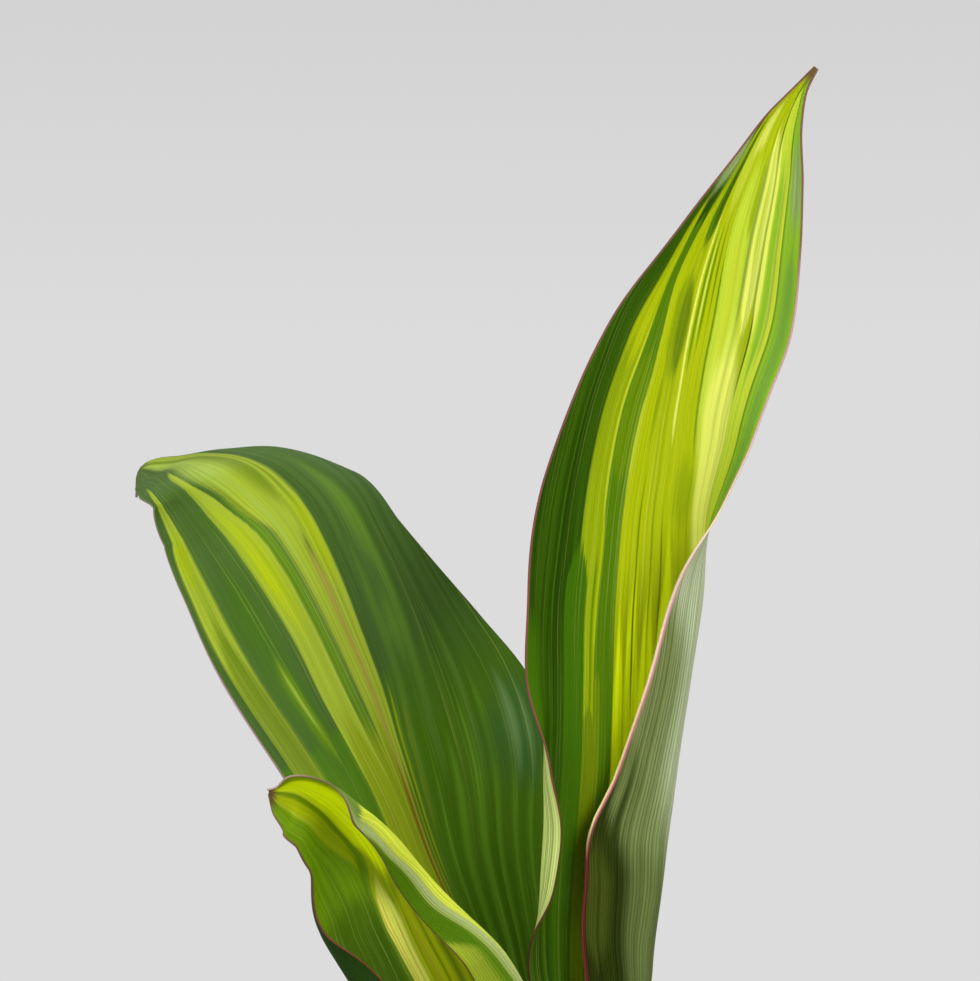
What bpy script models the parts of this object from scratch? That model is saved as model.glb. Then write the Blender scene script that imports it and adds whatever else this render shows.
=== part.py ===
"""Potted cordyline: a plain tapered pot of soil, a short ringed cane and nine striped leaves.

Metres, +Z up. The origin is the centre of the pot's foot. The side seen from the front faces -Y.
"""

import math

import bmesh
import bpy
import numpy as np

OBJECT_NAME = "Potted cordyline"
GAP = 0.0003

# Pot: a plain tapered planter with a thickened rim
POT_HEIGHT = 0.122
POT_FOOT_RADIUS = 0.047
POT_RIM_RADIUS = 0.066
POT_RIM_HEIGHT = 0.013
POT_RIM_STEP = 0.0022
POT_WALL = 0.0045
POT_FLOOR = 0.008
POT_FOOT_ROUND = 0.002
POT_FOOT_BEVEL = 0.0006
POT_INNER_ROUND = 0.004
POT_RIM_CROWN = 0.0004
POT_EDGE = 0.0012
POT_SIDES = 56

# Soil: fills the pot to just under its rim, and has a plain blind hole for the cane
SOIL_TOP = 0.108
SOIL_DOME = 0.004
SOIL_HOLE_DEPTH = 0.045
SOIL_HOLE_BEVEL = (0.002, 0.001)
SOIL_SHOULDER = 0.6
SOIL_EDGE = (0.003, 0.002)

# Cane: rings where old leaves came off, and a rounded top
CANE_RADIUS = 0.007
CANE_TOP = 0.232
CANE_RING_SPACING = 0.0105
CANE_RING_DEPTH = 0.00045
CANE_RING_WIDTH = 0.16
CANE_DOME = 0.7
CANE_ROWS_PER_RING = 4
CANE_SIDES = 16

# Rolled young leaf on the cane's top
SPEAR_TOP = 0.318
SPEAR_RADIUS = 0.0042
SPEAR_LEAN = (0.004, -0.008)
SPEAR_FOOT_SHARE = 0.55
SPEAR_SWELL_END = 0.3
SPEAR_TIP_SHARE = 0.06
SPEAR_TAPER = 1.6
SPEAR_RIDGE = 0.12
SPEAR_TWIST = 3.0
SPEAR_SIDES = 12
SPEAR_ROWS = 9

# Leaves: the surface below is the upper face, and the thickness grows from it to the underside
BLADE_THICKNESS = 0.0007
STALK_THICKNESS = 0.0024
STALK_THICK_END = 0.16
STALK_THIN_END = 0.32
RIB_SHARE = 0.35
RIB_NARROW = 3.0
RIB_FALL = 1.5
FOOT_RADIUS = CANE_RADIUS + 0.0004

# Each large leaf is a list of stations from foot to tip. A station holds the point on the midrib,
# the way the upper face looks (degrees about Z, 0 towards -Y, then degrees upwards), and for the
# left and the right half: width, rise at the midrib, further turn towards the edge (degrees),
# and where the turn starts, as a share of the half's width. SPAN is the share it takes.
TALL_SPAN = (0.45, 0.6)
TALL_WAVE = (5, 6, 0.1, 7, 0.4)
TALL_LEAF = (
    ((0.0031, 0.0067, 0.226), (-25, 0), (0.0055, 0, 25, 0.0), (0.0055, 0, 25, 0.0)),
    ((0.0060, 0.0130, 0.262), (-8, 0), (0.0080, 10, 55, 0.0), (0.0080, 10, 55, 0.0)),
    ((0.0090, 0.0120, 0.300), (0, 0), (0.0200, 15, 50, 0.2), (0.0280, 15, 120, 0.1)),
    ((0.0130, 0.0100, 0.330), (0, 0), (0.0340, 10, 50, 0.5), (0.0440, 5, 185, 0.11)),
    ((0.0150, 0.0090, 0.345), (0, 0), (0.0385, 12, 72, 0.5), (0.0466, 5, 185, 0.08)),
    ((0.0170, 0.0080, 0.364), (0, 0), (0.0420, 18, 135, 0.565), (0.0488, 5, 185, 0.075)),
    ((0.0190, 0.0070, 0.383), (0, 0), (0.0435, 18, 145, 0.57), (0.0500, 5, 185, 0.072)),
    ((0.0210, 0.0060, 0.404), (0, 0), (0.0445, 18, 110, 0.57), (0.0434, 5, 185, 0.138)),
    ((0.0220, 0.0040, 0.439), (0, 0), (0.0460, 18, 30, 0.4), (0.0413, 0, 178, 0.231)),
    ((0.0230, 0.0020, 0.470), (0, 0), (0.0475, 18, 30, 0.4), (0.0426, 0, 150, 0.28)),
    ((0.0260, 0.0000, 0.505), (0, 0), (0.0434, 18, 25, 0.3), (0.0370, 5, 78, 0.25)),
    ((0.0330, -0.0020, 0.533), (0, 0), (0.0390, 16, 20, 0.3), (0.0363, 8, 42, 0.3)),
    ((0.0400, -0.0030, 0.550), (0, 0), (0.0360, 14, 20, 0.3), (0.0327, 10, 25, 0.3)),
    ((0.0500, -0.0030, 0.574), (0, 0), (0.0296, 12, 20, 0.3), (0.0310, 12, 20, 0.3)),
    ((0.0590, -0.0030, 0.598), (0, 0), (0.0220, 14, 20, 0.3), (0.0247, 14, 20, 0.3)),
    ((0.0680, -0.0020, 0.620), (0, 0), (0.0143, 16, 20, 0.3), (0.0155, 16, 20, 0.3)),
    ((0.0760, 0.0000, 0.640), (0, 0), (0.0075, 20, 20, 0.3), (0.0066, 20, 20, 0.3)),
    ((0.0820, 0.0010, 0.652), (0, 0), (0.0023, 20, 20, 0.3), (0.0022, 20, 20, 0.3)),
    ((0.0870, 0.0020, 0.659), (0, 0), (0.0007, 20, 20, 0.3), (0.0007, 20, 20, 0.3)),
)
LEFT_SPAN = (0.7, 0.7)
LEFT_WAVE = (6, 5, 0.2, 5, 0.6)
LEFT_LEAF = (
    ((-0.0035, 0.0065, 0.212), (28, 0), (0.0055, 0, 25, 0.0), (0.0055, 0, 25, 0.0)),
    ((-0.0120, 0.0170, 0.262), (30, 10), (0.0080, 10, 50, 0.0), (0.0080, 10, 50, 0.0)),
    ((-0.0210, 0.0250, 0.304), (15, 20), (0.0200, 20, 30, 0.2), (0.0200, 15, 30, 0.2)),
    ((-0.0340, 0.0290, 0.336), (5, 30), (0.0350, 15, 20, 0.2), (0.0340, 5, 10, 0.2)),
    ((-0.0490, 0.0310, 0.368), (0, 30), (0.0400, 10, 15, 0.2), (0.0470, 0, 10, 0.2)),
    ((-0.0640, 0.0380, 0.408), (0, 30), (0.0435, 8, 10, 0.2), (0.0570, 0, 5, 0.2)),
    ((-0.0790, 0.0470, 0.443), (0, 35), (0.0520, 5, 5, 0.2), (0.0498, 0, 0, 0.2)),
    ((-0.0990, 0.0590, 0.485), (-5, 45), (0.0515, 4, -4, 0.2), (0.0390, 0, -30, 0.3)),
    ((-0.1110, 0.0745, 0.504), (-10, 50), (0.0495, 2, -2, 0.2), (0.0385, 5, -50, 0.3)),
    ((-0.1250, 0.0860, 0.518), (-20, 60), (0.0475, 7, -6, 0.2), (0.0390, -5, -70, 0.2)),
    ((-0.1410, 0.0975, 0.520), (-30, 60), (0.0460, 14, -4, 0.2), (0.0330, -15, -70, 0.2)),
    ((-0.1550, 0.1050, 0.517), (-40, 50), (0.0330, 20, 4, 0.2), (0.0220, -15, -60, 0.2)),
    ((-0.1670, 0.1090, 0.5145), (-50, 30), (0.0045, 20, 20, 0.2), (0.0090, -15, -60, 0.2)),
    ((-0.1690, 0.1100, 0.504), (-50, 0), (0.0009, 20, 20, 0.2), (0.0009, -15, -60, 0.2)),
)
FRONT_SPAN = (0.5, 0.35)
FRONT_WAVE = (10, 6, 0.2, 5, 0.6)
FRONT_LEAF = (
    ((-0.0070, -0.0024, 0.199), (109, 0), (0.0055, 0, 25, 0.0), (0.0055, 0, 25, 0.0)),
    ((-0.0170, -0.0080, 0.240), (80, 10), (0.0080, 10, 40, 0.0), (0.0080, 10, 40, 0.0)),
    ((-0.0340, -0.0160, 0.291), (18, 10), (0.0260, 20, 60, 0.4), (0.0430, 15, 170, 0.47)),
    ((-0.0530, -0.0210, 0.332), (8, 10), (0.0405, 10, 160, 0.4), (0.0474, 10, 175, 0.48)),
    ((-0.0670, -0.0240, 0.365), (0, 10), (0.0370, 10, 110, 0.5), (0.0287, 10, 175, 0.41)),
    ((-0.0800, -0.0260, 0.388), (0, 10), (0.0272, 10, 60, 0.4), (0.0207, 45, 122, 0.44)),
    ((-0.0890, -0.0280, 0.397), (0, 10), (0.0220, 16, 40, 0.4), (0.0185, 50, 40, 0.3)),
    ((-0.0980, -0.0282, 0.4013), (0, 10), (0.0202, 18, 40, 0.4), (0.0105, 42, 40, 0.2)),
    ((-0.1055, -0.0255, 0.4008), (0, 10), (0.0094, 12, 40, 0.4), (0.0014, 40, 40, 0.2)),
    ((-0.1088, -0.0235, 0.4002), (0, 10), (0.0009, 10, 40, 0.4), (0.0009, 40, 60, 0.2)),
)

# Older leaves, lower on the cane: direction (degrees from +X), foot height, reach, height of
# the arch over the foot, drop of the tip below the arch, half width
LOW_LEAVES = (
    (-22, 0.186, 0.270, 0.094, 0.075, 0.040),
    (275, 0.174, 0.235, 0.080, 0.085, 0.043),
    (210, 0.162, 0.290, 0.072, 0.100, 0.044),
    (132, 0.150, 0.250, 0.084, 0.080, 0.042),
    (55, 0.168, 0.265, 0.082, 0.090, 0.041),
)
LOW_STATIONS = 9
LOW_STALK = 0.2
LOW_STALK_WIDTH = 0.0065
LOW_TIP_WIDTH = 0.0009
LOW_WIDEST = 0.85
LOW_FULLNESS = 0.8
# Bends of the arch as shares of the reach and of the arch's height
LOW_CLIMB = (0.10, 0.75)
LOW_CREST = (0.55, 1.45)
# At the foot and at the tip (degrees): the tilt of the face, the rise of each half, and its turn,
# which flattens over the lower half
LOW_TILT = (10, 85)
LOW_RISE = (22, 6)
LOW_TURN = (45, 5)
LOW_SPAN = (0.8, 0.8)
LOW_WAVE = (14, 4, 0.1, 4, 0.45)

LARGE_GRID = (7, 32)
LOW_GRID = (4, 22)
WAVE_START = 0.25


def clear_scene():
    for item in list(bpy.data.objects):
        bpy.data.objects.remove(item, do_unlink=True)


def new_collection(name):
    group = bpy.data.collections.new(name)
    bpy.context.scene.collection.children.link(group)
    return group


def material(name, colour, roughness):
    made = bpy.data.materials.new(name)
    made.use_nodes = True
    shader = made.node_tree.nodes["Principled BSDF"]
    shader.inputs["Base Color"].default_value = (*colour, 1.0)
    shader.inputs["Roughness"].default_value = roughness
    shader.inputs["Metallic"].default_value = 0.0
    made.diffuse_color = (*colour, 1.0)
    return made


def add_object(group, name, mesh, look):
    mesh.materials.append(look)
    made = bpy.data.objects.new(name, mesh)
    group.objects.link(made)
    return made


def turned(group, name, profile, sides, look):
    """A solid of revolution about Z. The profile runs from the axis, and down its outer side."""
    bm = bmesh.new()
    corners = [bm.verts.new((radius, 0.0, height)) for radius, height in profile]
    for first, second in zip(corners, corners[1:]):
        bm.edges.new((first, second))
    mesh = bpy.data.meshes.new(name)
    bm.to_mesh(mesh)
    bm.free()
    made = add_object(group, name, mesh, look)
    screw = made.modifiers.new("Turn", "SCREW")
    screw.axis = "Z"
    screw.steps = sides
    screw.render_steps = sides
    screw.use_merge_vertices = True
    screw.merge_threshold = 0.00001
    return made


def outer_radius(height):
    """The pot's outer radius under its rim."""
    return POT_FOOT_RADIUS + (POT_RIM_RADIUS - POT_RIM_STEP - POT_FOOT_RADIUS) * height / POT_HEIGHT


def inner_radius(height):
    return outer_radius(height) - POT_WALL


def make_pot(group):
    rim_foot = POT_HEIGHT - POT_RIM_HEIGHT
    half_rim = 0.5 * (POT_RIM_RADIUS + inner_radius(POT_HEIGHT))
    edge = POT_EDGE
    profile = (
        (0.0, POT_FLOOR),
        (inner_radius(POT_FLOOR) - POT_INNER_ROUND, POT_FLOOR),
        (inner_radius(POT_FLOOR + POT_INNER_ROUND), POT_FLOOR + POT_INNER_ROUND),
        (inner_radius(POT_HEIGHT - edge), POT_HEIGHT - edge),
        (inner_radius(POT_HEIGHT) + edge, POT_HEIGHT),
        (half_rim, POT_HEIGHT + POT_RIM_CROWN),
        (POT_RIM_RADIUS - edge, POT_HEIGHT),
        (POT_RIM_RADIUS, POT_HEIGHT - edge),
        (POT_RIM_RADIUS, rim_foot + edge),
        (outer_radius(rim_foot), rim_foot),
        (outer_radius(POT_FOOT_ROUND), POT_FOOT_ROUND),
        (POT_FOOT_RADIUS - POT_FOOT_BEVEL, POT_FOOT_BEVEL),
        (POT_FOOT_RADIUS - POT_FOOT_ROUND, 0.0),
        (0.0, 0.0),
    )
    turned(group, "pot", profile, POT_SIDES, material("Glazed pot", (0.62, 0.61, 0.58), 0.45))


def make_soil(group):
    hole = CANE_RADIUS + GAP
    foot = POT_FLOOR + GAP
    profile = (
        (0.0, SOIL_TOP - SOIL_HOLE_DEPTH),
        (hole, SOIL_TOP - SOIL_HOLE_DEPTH),
        (hole, SOIL_TOP + SOIL_DOME - SOIL_HOLE_BEVEL[1]),
        (hole + SOIL_HOLE_BEVEL[0], SOIL_TOP + SOIL_DOME),
        (SOIL_SHOULDER * inner_radius(SOIL_TOP), SOIL_TOP + SOIL_SHOULDER * SOIL_DOME),
        (inner_radius(SOIL_TOP) - GAP - SOIL_EDGE[0], SOIL_TOP),
        (inner_radius(SOIL_TOP - SOIL_EDGE[1]) - GAP, SOIL_TOP - SOIL_EDGE[1]),
        (inner_radius(foot + POT_INNER_ROUND) - GAP, foot + POT_INNER_ROUND),
        (inner_radius(foot) - GAP - POT_INNER_ROUND, foot),
        (0.0, foot),
    )
    turned(group, "soil", profile, POT_SIDES, material("Potting soil", (0.045, 0.032, 0.022), 0.95))


def cane_radius(height):
    """Rings are shallow grooves, so the cane never gets thicker than its radius."""
    phase = (height / CANE_RING_SPACING) % 1.0
    return CANE_RADIUS - CANE_RING_DEPTH * math.exp(-(((phase - 0.5) / CANE_RING_WIDTH) ** 2))


def make_cane(group):
    foot = SOIL_TOP - SOIL_HOLE_DEPTH + GAP
    shoulder = CANE_TOP - CANE_DOME * CANE_RADIUS
    rows = round((shoulder - foot) / CANE_RING_SPACING * CANE_ROWS_PER_RING)
    profile = [(0.0, CANE_TOP)]
    for step in (0.35, 0.7):
        angle = step * math.pi / 2
        height = shoulder + CANE_DOME * CANE_RADIUS * math.cos(angle)
        profile.append((CANE_RADIUS * math.sin(angle), height))
    for row in range(rows + 1):
        height = shoulder + (foot - shoulder) * row / rows
        profile.append((cane_radius(height), height))
    profile.append((0.0, foot))
    turned(group, "cane", profile, CANE_SIDES, material("Cane bark", (0.30, 0.25, 0.16), 0.8))


def spear_taper(share):
    """Swells a little from the foot, then runs out to the tip."""
    if share < SPEAR_SWELL_END:
        return SPEAR_FOOT_SHARE + (1 - SPEAR_FOOT_SHARE) * share / SPEAR_SWELL_END
    run = (share - SPEAR_SWELL_END) / (1 - SPEAR_SWELL_END)
    return SPEAR_TIP_SHARE + (1 - SPEAR_TIP_SHARE) * (1 - run**SPEAR_TAPER)


def make_spear(group):
    """A slim rolled leaf that stands on the cane's top."""
    bm = bmesh.new()
    bmesh.ops.create_cone(
        bm,
        cap_ends=True,
        segments=SPEAR_SIDES,
        radius1=SPEAR_RADIUS,
        radius2=SPEAR_RADIUS,
        depth=1.0,
    )
    sides = [edge for edge in bm.edges if abs(edge.verts[0].co.z - edge.verts[1].co.z) > 0.5]
    bmesh.ops.subdivide_edges(bm, edges=sides, cuts=SPEAR_ROWS - 1)
    foot = CANE_TOP + GAP
    for vert in bm.verts:
        share = vert.co.z + 0.5
        angle = math.atan2(vert.co.y, vert.co.x)
        ridge = 1 + SPEAR_RIDGE * math.cos(angle - SPEAR_TWIST * share)
        radius = SPEAR_RADIUS * spear_taper(share) * ridge
        vert.co.x = radius * math.cos(angle) + SPEAR_LEAN[0] * share**2
        vert.co.y = radius * math.sin(angle) + SPEAR_LEAN[1] * share**2
        vert.co.z = foot + (SPEAR_TOP - foot) * share
    bmesh.ops.triangulate(bm, faces=bm.faces)
    mesh = bpy.data.meshes.new("leaf_spear")
    bm.to_mesh(mesh)
    bm.free()
    add_object(group, "leaf_spear", mesh, material("Young leaf", (0.30, 0.42, 0.08), 0.4))


def through(knots, values, at):
    """A smooth curve through the values at the knots, with tangents from their neighbours."""
    step = np.diff(knots)[:, None]
    slope = np.diff(values, axis=0) / step
    tangent = np.empty_like(values)
    tangent[0] = slope[0]
    tangent[-1] = slope[-1]
    tangent[1:-1] = (slope[:-1] * step[1:] + slope[1:] * step[:-1]) / (step[1:] + step[:-1])
    i = np.clip(np.searchsorted(knots, at, side="right") - 1, 0, len(knots) - 2)
    h = step[i]
    t = (at - knots[i])[:, None] / h
    return (
        (2 * t**3 - 3 * t**2 + 1) * values[i]
        + (t**3 - 2 * t**2 + t) * h * tangent[i]
        + (3 * t**2 - 2 * t**3) * values[i + 1]
        + (t**3 - t**2) * h * tangent[i + 1]
    )


def unit(vectors):
    return vectors / np.linalg.norm(vectors, axis=-1, keepdims=True)


def half_section(width, rise, turn, start, span, shares):
    """Points along half a cross-section: outwards, and towards the upper face's side."""
    steps = 60
    middle = (np.arange(steps) + 0.5) / steps
    bent = np.clip((middle - start) / span, 0, 1)
    slope = np.radians(rise + turn * bent**2 * (3 - 2 * bent))
    out = np.concatenate([[0], np.cumsum(np.cos(slope))]) * width / steps
    up = np.concatenate([[0], np.cumsum(np.sin(slope))]) * width / steps
    ends = np.linspace(0, 1, steps + 1)
    return np.interp(shares, ends, out), np.interp(shares, ends, up)


def leaf_points(stations, spans, wave, grid):
    """Rows of points from foot to tip. Each row runs from the left edge to the right edge."""
    across, along = grid
    rows = np.array([sum(station, ()) for station in stations], float)
    length = np.linalg.norm(np.diff(rows[:, :3], axis=0), axis=1)
    knots = np.concatenate([[0], np.cumsum(length)]) / length.sum()
    s = np.linspace(0, 1, along + 1)
    at = through(knots, rows, s)
    near = 0.001
    ahead = through(knots, rows[:, :3], np.clip(s + near, 0, 1))
    tangent = unit(ahead - through(knots, rows[:, :3], np.clip(s - near, 0, 1)))
    face, tilt = np.radians(at[:, 3]), np.radians(at[:, 4])
    look = np.stack([np.sin(face) * np.cos(tilt), -np.cos(face) * np.cos(tilt), np.sin(tilt)], 1)
    normal = unit(look - (look * tangent).sum(1, keepdims=True) * tangent)
    right = np.cross(tangent, normal)
    size, left_count, left_phase, right_count, right_phase = wave
    fade = np.sqrt(np.clip(np.sin(math.pi * (s - WAVE_START) / (1 - WAVE_START)), 0, 1))
    left_wave = size * fade * np.sin(2 * math.pi * (left_count * s + left_phase))
    right_wave = size * fade * np.sin(2 * math.pi * (right_count * s + right_phase))
    shares = np.linspace(0, 1, across + 1)
    points = np.empty((along + 1, 2 * across + 1, 3))
    for k in range(along + 1):
        width, rise, turn, start = at[k, 5:9]
        left_out, left_up = half_section(width, rise, turn + left_wave[k], start, spans[0], shares)
        width, rise, turn, start = at[k, 9:13]
        right_out, right_up = half_section(width, rise, turn + right_wave[k], start, spans[1], shares)
        out = np.concatenate([-left_out[::-1], right_out[1:]])
        up = np.concatenate([left_up[::-1], right_up[1:]])
        points[k] = at[k, :3] + out[:, None] * right[k] + up[:, None] * normal[k]
    return points


def thickness_share(along, across):
    """1 where a leaf is as thick as its stalk, 0 where it is as thin as its blade."""
    stalk = min(max((STALK_THIN_END - along) / (STALK_THIN_END - STALK_THICK_END), 0.0), 1.0)
    rib = RIB_SHARE * (1 - along)
    return max(stalk, rib) * max(0.0, 1 - abs(across) * (1 + RIB_NARROW * (1 - stalk))) ** RIB_FALL


def make_leaf(group, name, stations, spans, wave, grid, look):
    across, along = grid
    points = leaf_points(stations, spans, wave, grid)
    bm = bmesh.new()
    bmesh.ops.create_grid(bm, x_segments=2 * across, y_segments=along, size=1.0)
    shares = {}
    for vert in bm.verts:
        column = round((vert.co.x + 1) * across)
        row = round((vert.co.y + 1) / 2 * along)
        shares[vert.index] = thickness_share(row / along, column / across - 1)
        vert.co = points[row, column]
    bmesh.ops.triangulate(bm, faces=bm.faces, quad_method="FIXED")
    mesh = bpy.data.meshes.new(name)
    bm.to_mesh(mesh)
    bm.free()
    made = add_object(group, name, mesh, look)
    thick = made.vertex_groups.new(name="Thick")
    for index, share in shares.items():
        thick.add([index], share, "REPLACE")
    solid = made.modifiers.new("Thickness", "SOLIDIFY")
    solid.thickness = STALK_THICKNESS
    solid.offset = -1.0
    solid.vertex_group = thick.name
    solid.thickness_vertex_group = BLADE_THICKNESS / STALK_THICKNESS
    mesh.shade_smooth()
    return made


def low_stations(direction, foot_height, reach, arch, drop, half_width):
    """Stations of an arching leaf in its own upright plane, turned to its direction."""
    heading = math.radians(direction)
    foot = np.array([FOOT_RADIUS, foot_height])
    bend = np.array(
        [
            foot,
            [FOOT_RADIUS + LOW_CLIMB[0] * reach, foot_height + LOW_CLIMB[1] * arch],
            [LOW_CREST[0] * reach, foot_height + LOW_CREST[1] * arch],
            [reach, foot_height + arch - drop],
        ]
    )
    stations = []
    for k in range(LOW_STATIONS):
        t = k / (LOW_STATIONS - 1)
        weights = np.array([(1 - t) ** 3, 3 * t * (1 - t) ** 2, 3 * t**2 * (1 - t), t**3])
        radius, height = weights @ bend
        blade = max(0.0, (t - LOW_STALK) / (1 - LOW_STALK))
        full = math.sin(math.pi * blade**LOW_WIDEST) ** LOW_FULLNESS
        width = LOW_STALK_WIDTH + (half_width - LOW_STALK_WIDTH) * full
        if t == 1:
            width = LOW_TIP_WIDTH
        rise = 0 if k == 0 else LOW_RISE[0] + (LOW_RISE[1] - LOW_RISE[0]) * t
        turn = LOW_TURN[0] + (LOW_TURN[1] - LOW_TURN[0]) * min(1.0, 2 * t)
        side = (width, rise, turn, 0.0 if k == 0 else 0.1)
        point = (radius * math.cos(heading), radius * math.sin(heading), height)
        tilt = LOW_TILT[0] + (LOW_TILT[1] - LOW_TILT[0]) * t
        stations.append((point, (direction - 90, tilt), side, side))
    return stations


def main():
    clear_scene()
    group = new_collection(OBJECT_NAME)
    make_pot(group)
    make_soil(group)
    make_cane(group)
    make_spear(group)
    large = (
        ("leaf_tall", TALL_LEAF, TALL_SPAN, TALL_WAVE, (0.33, 0.45, 0.04)),
        ("leaf_left", LEFT_LEAF, LEFT_SPAN, LEFT_WAVE, (0.17, 0.28, 0.03)),
        ("leaf_front", FRONT_LEAF, FRONT_SPAN, FRONT_WAVE, (0.20, 0.27, 0.02)),
    )
    for name, stations, spans, wave, colour in large:
        make_leaf(group, name, stations, spans, wave, LARGE_GRID, material(name, colour, 0.4))
    for number, low in enumerate(LOW_LEAVES, 1):
        look = material(f"Lower leaf {number}", (0.10, 0.20, 0.02), 0.4)
        make_leaf(group, f"leaf_low_{number}", low_stations(*low), LOW_SPAN, LOW_WAVE, LOW_GRID, look)


main()
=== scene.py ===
"""Potted cordyline: the dressed model of a striped cordyline in a plain glazed pot."""

import math

import bmesh
import bpy
import numpy as np
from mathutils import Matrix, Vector, noise


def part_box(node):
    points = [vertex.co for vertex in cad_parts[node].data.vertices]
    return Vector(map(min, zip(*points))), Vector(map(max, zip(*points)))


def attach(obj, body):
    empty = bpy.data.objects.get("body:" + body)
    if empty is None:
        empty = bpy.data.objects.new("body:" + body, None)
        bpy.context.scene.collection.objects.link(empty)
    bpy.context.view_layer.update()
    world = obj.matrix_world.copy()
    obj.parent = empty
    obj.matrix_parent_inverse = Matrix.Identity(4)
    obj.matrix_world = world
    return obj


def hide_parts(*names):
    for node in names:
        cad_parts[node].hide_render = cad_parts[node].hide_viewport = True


bl_info = {
    "name": "Potted Cordyline",
    "version": (1, 0, 0),
    "blender": (4, 5, 0),
    "location": "View3D > Sidebar > Cordyline",
    "description": "Builds a striped cordyline in a glazed pot, and the studio it stands in",
    "category": "Object",
}

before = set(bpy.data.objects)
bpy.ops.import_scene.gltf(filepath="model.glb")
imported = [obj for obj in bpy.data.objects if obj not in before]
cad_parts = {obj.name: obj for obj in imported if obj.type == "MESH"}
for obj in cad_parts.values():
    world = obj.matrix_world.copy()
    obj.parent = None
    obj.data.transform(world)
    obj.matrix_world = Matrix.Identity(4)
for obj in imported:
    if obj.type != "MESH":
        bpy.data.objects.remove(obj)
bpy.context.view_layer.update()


def tint(red, green, blue):
    """A screen colour, 0 to 255, as the linear colour that shaders use."""
    shares = (value / 255 for value in (red, green, blue))
    return tuple(v / 12.92 if v <= 0.04045 else ((v + 0.055) / 1.055) ** 2.4 for v in shares)


# ---------------------------------------------------------------- sizes of the plant, in metres

CANE_RADIUS = 0.007
FOOT_RADIUS = CANE_RADIUS + 0.0004
# A leaf is as thick as its stalk up to the first share of its length, and thins until the second.
# Its midrib's share of the stalk's thickness at the foot, how much narrower it is and how steeply
# its sides fall, and where along the leaf the margins start to wave
STALK_THICK_END = 0.16
STALK_THIN_END = 0.32
RIB_SHARE = 0.35
RIB_NARROW = 3.0
RIB_FALL = 1.5
WAVE_START = 0.25
# How far a leaf's faces are drawn towards its margins, the steps in which half a cross-section is
# summed up, and how far ahead and back its direction is taken, as a share of its length
EDGE_CLOSER = 0.35
SECTION_STEPS = 60
NEARBY = 0.001
# Vertices nearer to each other than this become one
MERGE = 0.00001

# Pot: rounding of the rim, the rise of its middle, the corner inside, and the rounding of the foot
POT_SIDES = 160
RIM_EDGE = 0.0012
RIM_CROWN = 0.0004
INNER_CORNER = 0.004
FOOT_ROUND = 0.002
FOOT_ROUND_MIDDLE = 0.0006
SOFT_EDGE = 0.0008

# Soil: its gap to pot and cane, its rise from the pot to the cane, how it is rounded at the hole and
# at the wall, where its loose top starts, and the lumps there as how fine they are and their share
SOIL_SIDES = 120
SOIL_RINGS = 34
SOIL_GAP = 0.0003
SOIL_CROWN = 0.004
SOIL_LIP = 0.001
SOIL_SHOULDER = 0.002
HOLE_EDGE = 0.0008
WALL_EDGE = 0.0012
WALL_DIP = 0.0006
LOOSE_FROM_HOLE = 0.0005
LOOSE_FROM_WALL = 0.0006
LUMPS_FROM_HOLE = 0.004
LUMPS_FROM_WALL = 0.003
SOIL_LUMPS = ((120, 0.6), (420, 0.4))
SOIL_ROUGHNESS = 0.0011
SOIL_SINK = 0.0008

# Crumbs and grit: least and greatest size, clear space at the soil's edges, how deep they lie, and
# how far each is stretched and roughened
CRUMB_SEED = 7
GRIT_EVERY = 9
CRUMB_SIZE = (0.0006, 0.0019)
GRIT_SIZE = (0.001, 0.0017)
CRUMB_CLEAR = 0.003
CRUMB_SINK = 0.0012
CRUMB_STRETCH = (0.6, 1.3)
CRUMB_ROUGHNESS = (0.85, 1.15)
CRUMB_FLATNESS = 0.6

# Cane: its domed top, the slant of a leaf scar and its turn from ring to ring, a scar's width as a
# share of their spacing, and how much scars and wear take from the radius
CANE_SIDES = 56
CANE_ROWS = 340
CANE_DOME = 0.7
CANE_DOME_STEPS = 9
SCAR_TILT = 0.1
SCAR_TURN = 2.4
SCAR_WIDTH = 0.07
SCAR_SHARE = 0.9
WEAR_SHARE = 0.22
WEAR_SCALE = 260

# Rolled young leaf: the lean of its tip, its taper, the ridge and the lip of its wrapped edge with
# their turn up the leaf, and how finely it is cut
SPEAR_LEAN = (0.004, -0.008)
SPEAR_FOOT_SHARE = 0.55
SPEAR_SWELL_END = 0.3
SPEAR_TIP_SHARE = 0.06
SPEAR_TAPER = 1.6
SPEAR_RIDGE = 0.12
SPEAR_TWIST = 3.0
SPEAR_LIP = 0.06
SPEAR_LIP_FALL = 12
SPEAR_SIDES = 72
SPEAR_CUTS = 89

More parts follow.
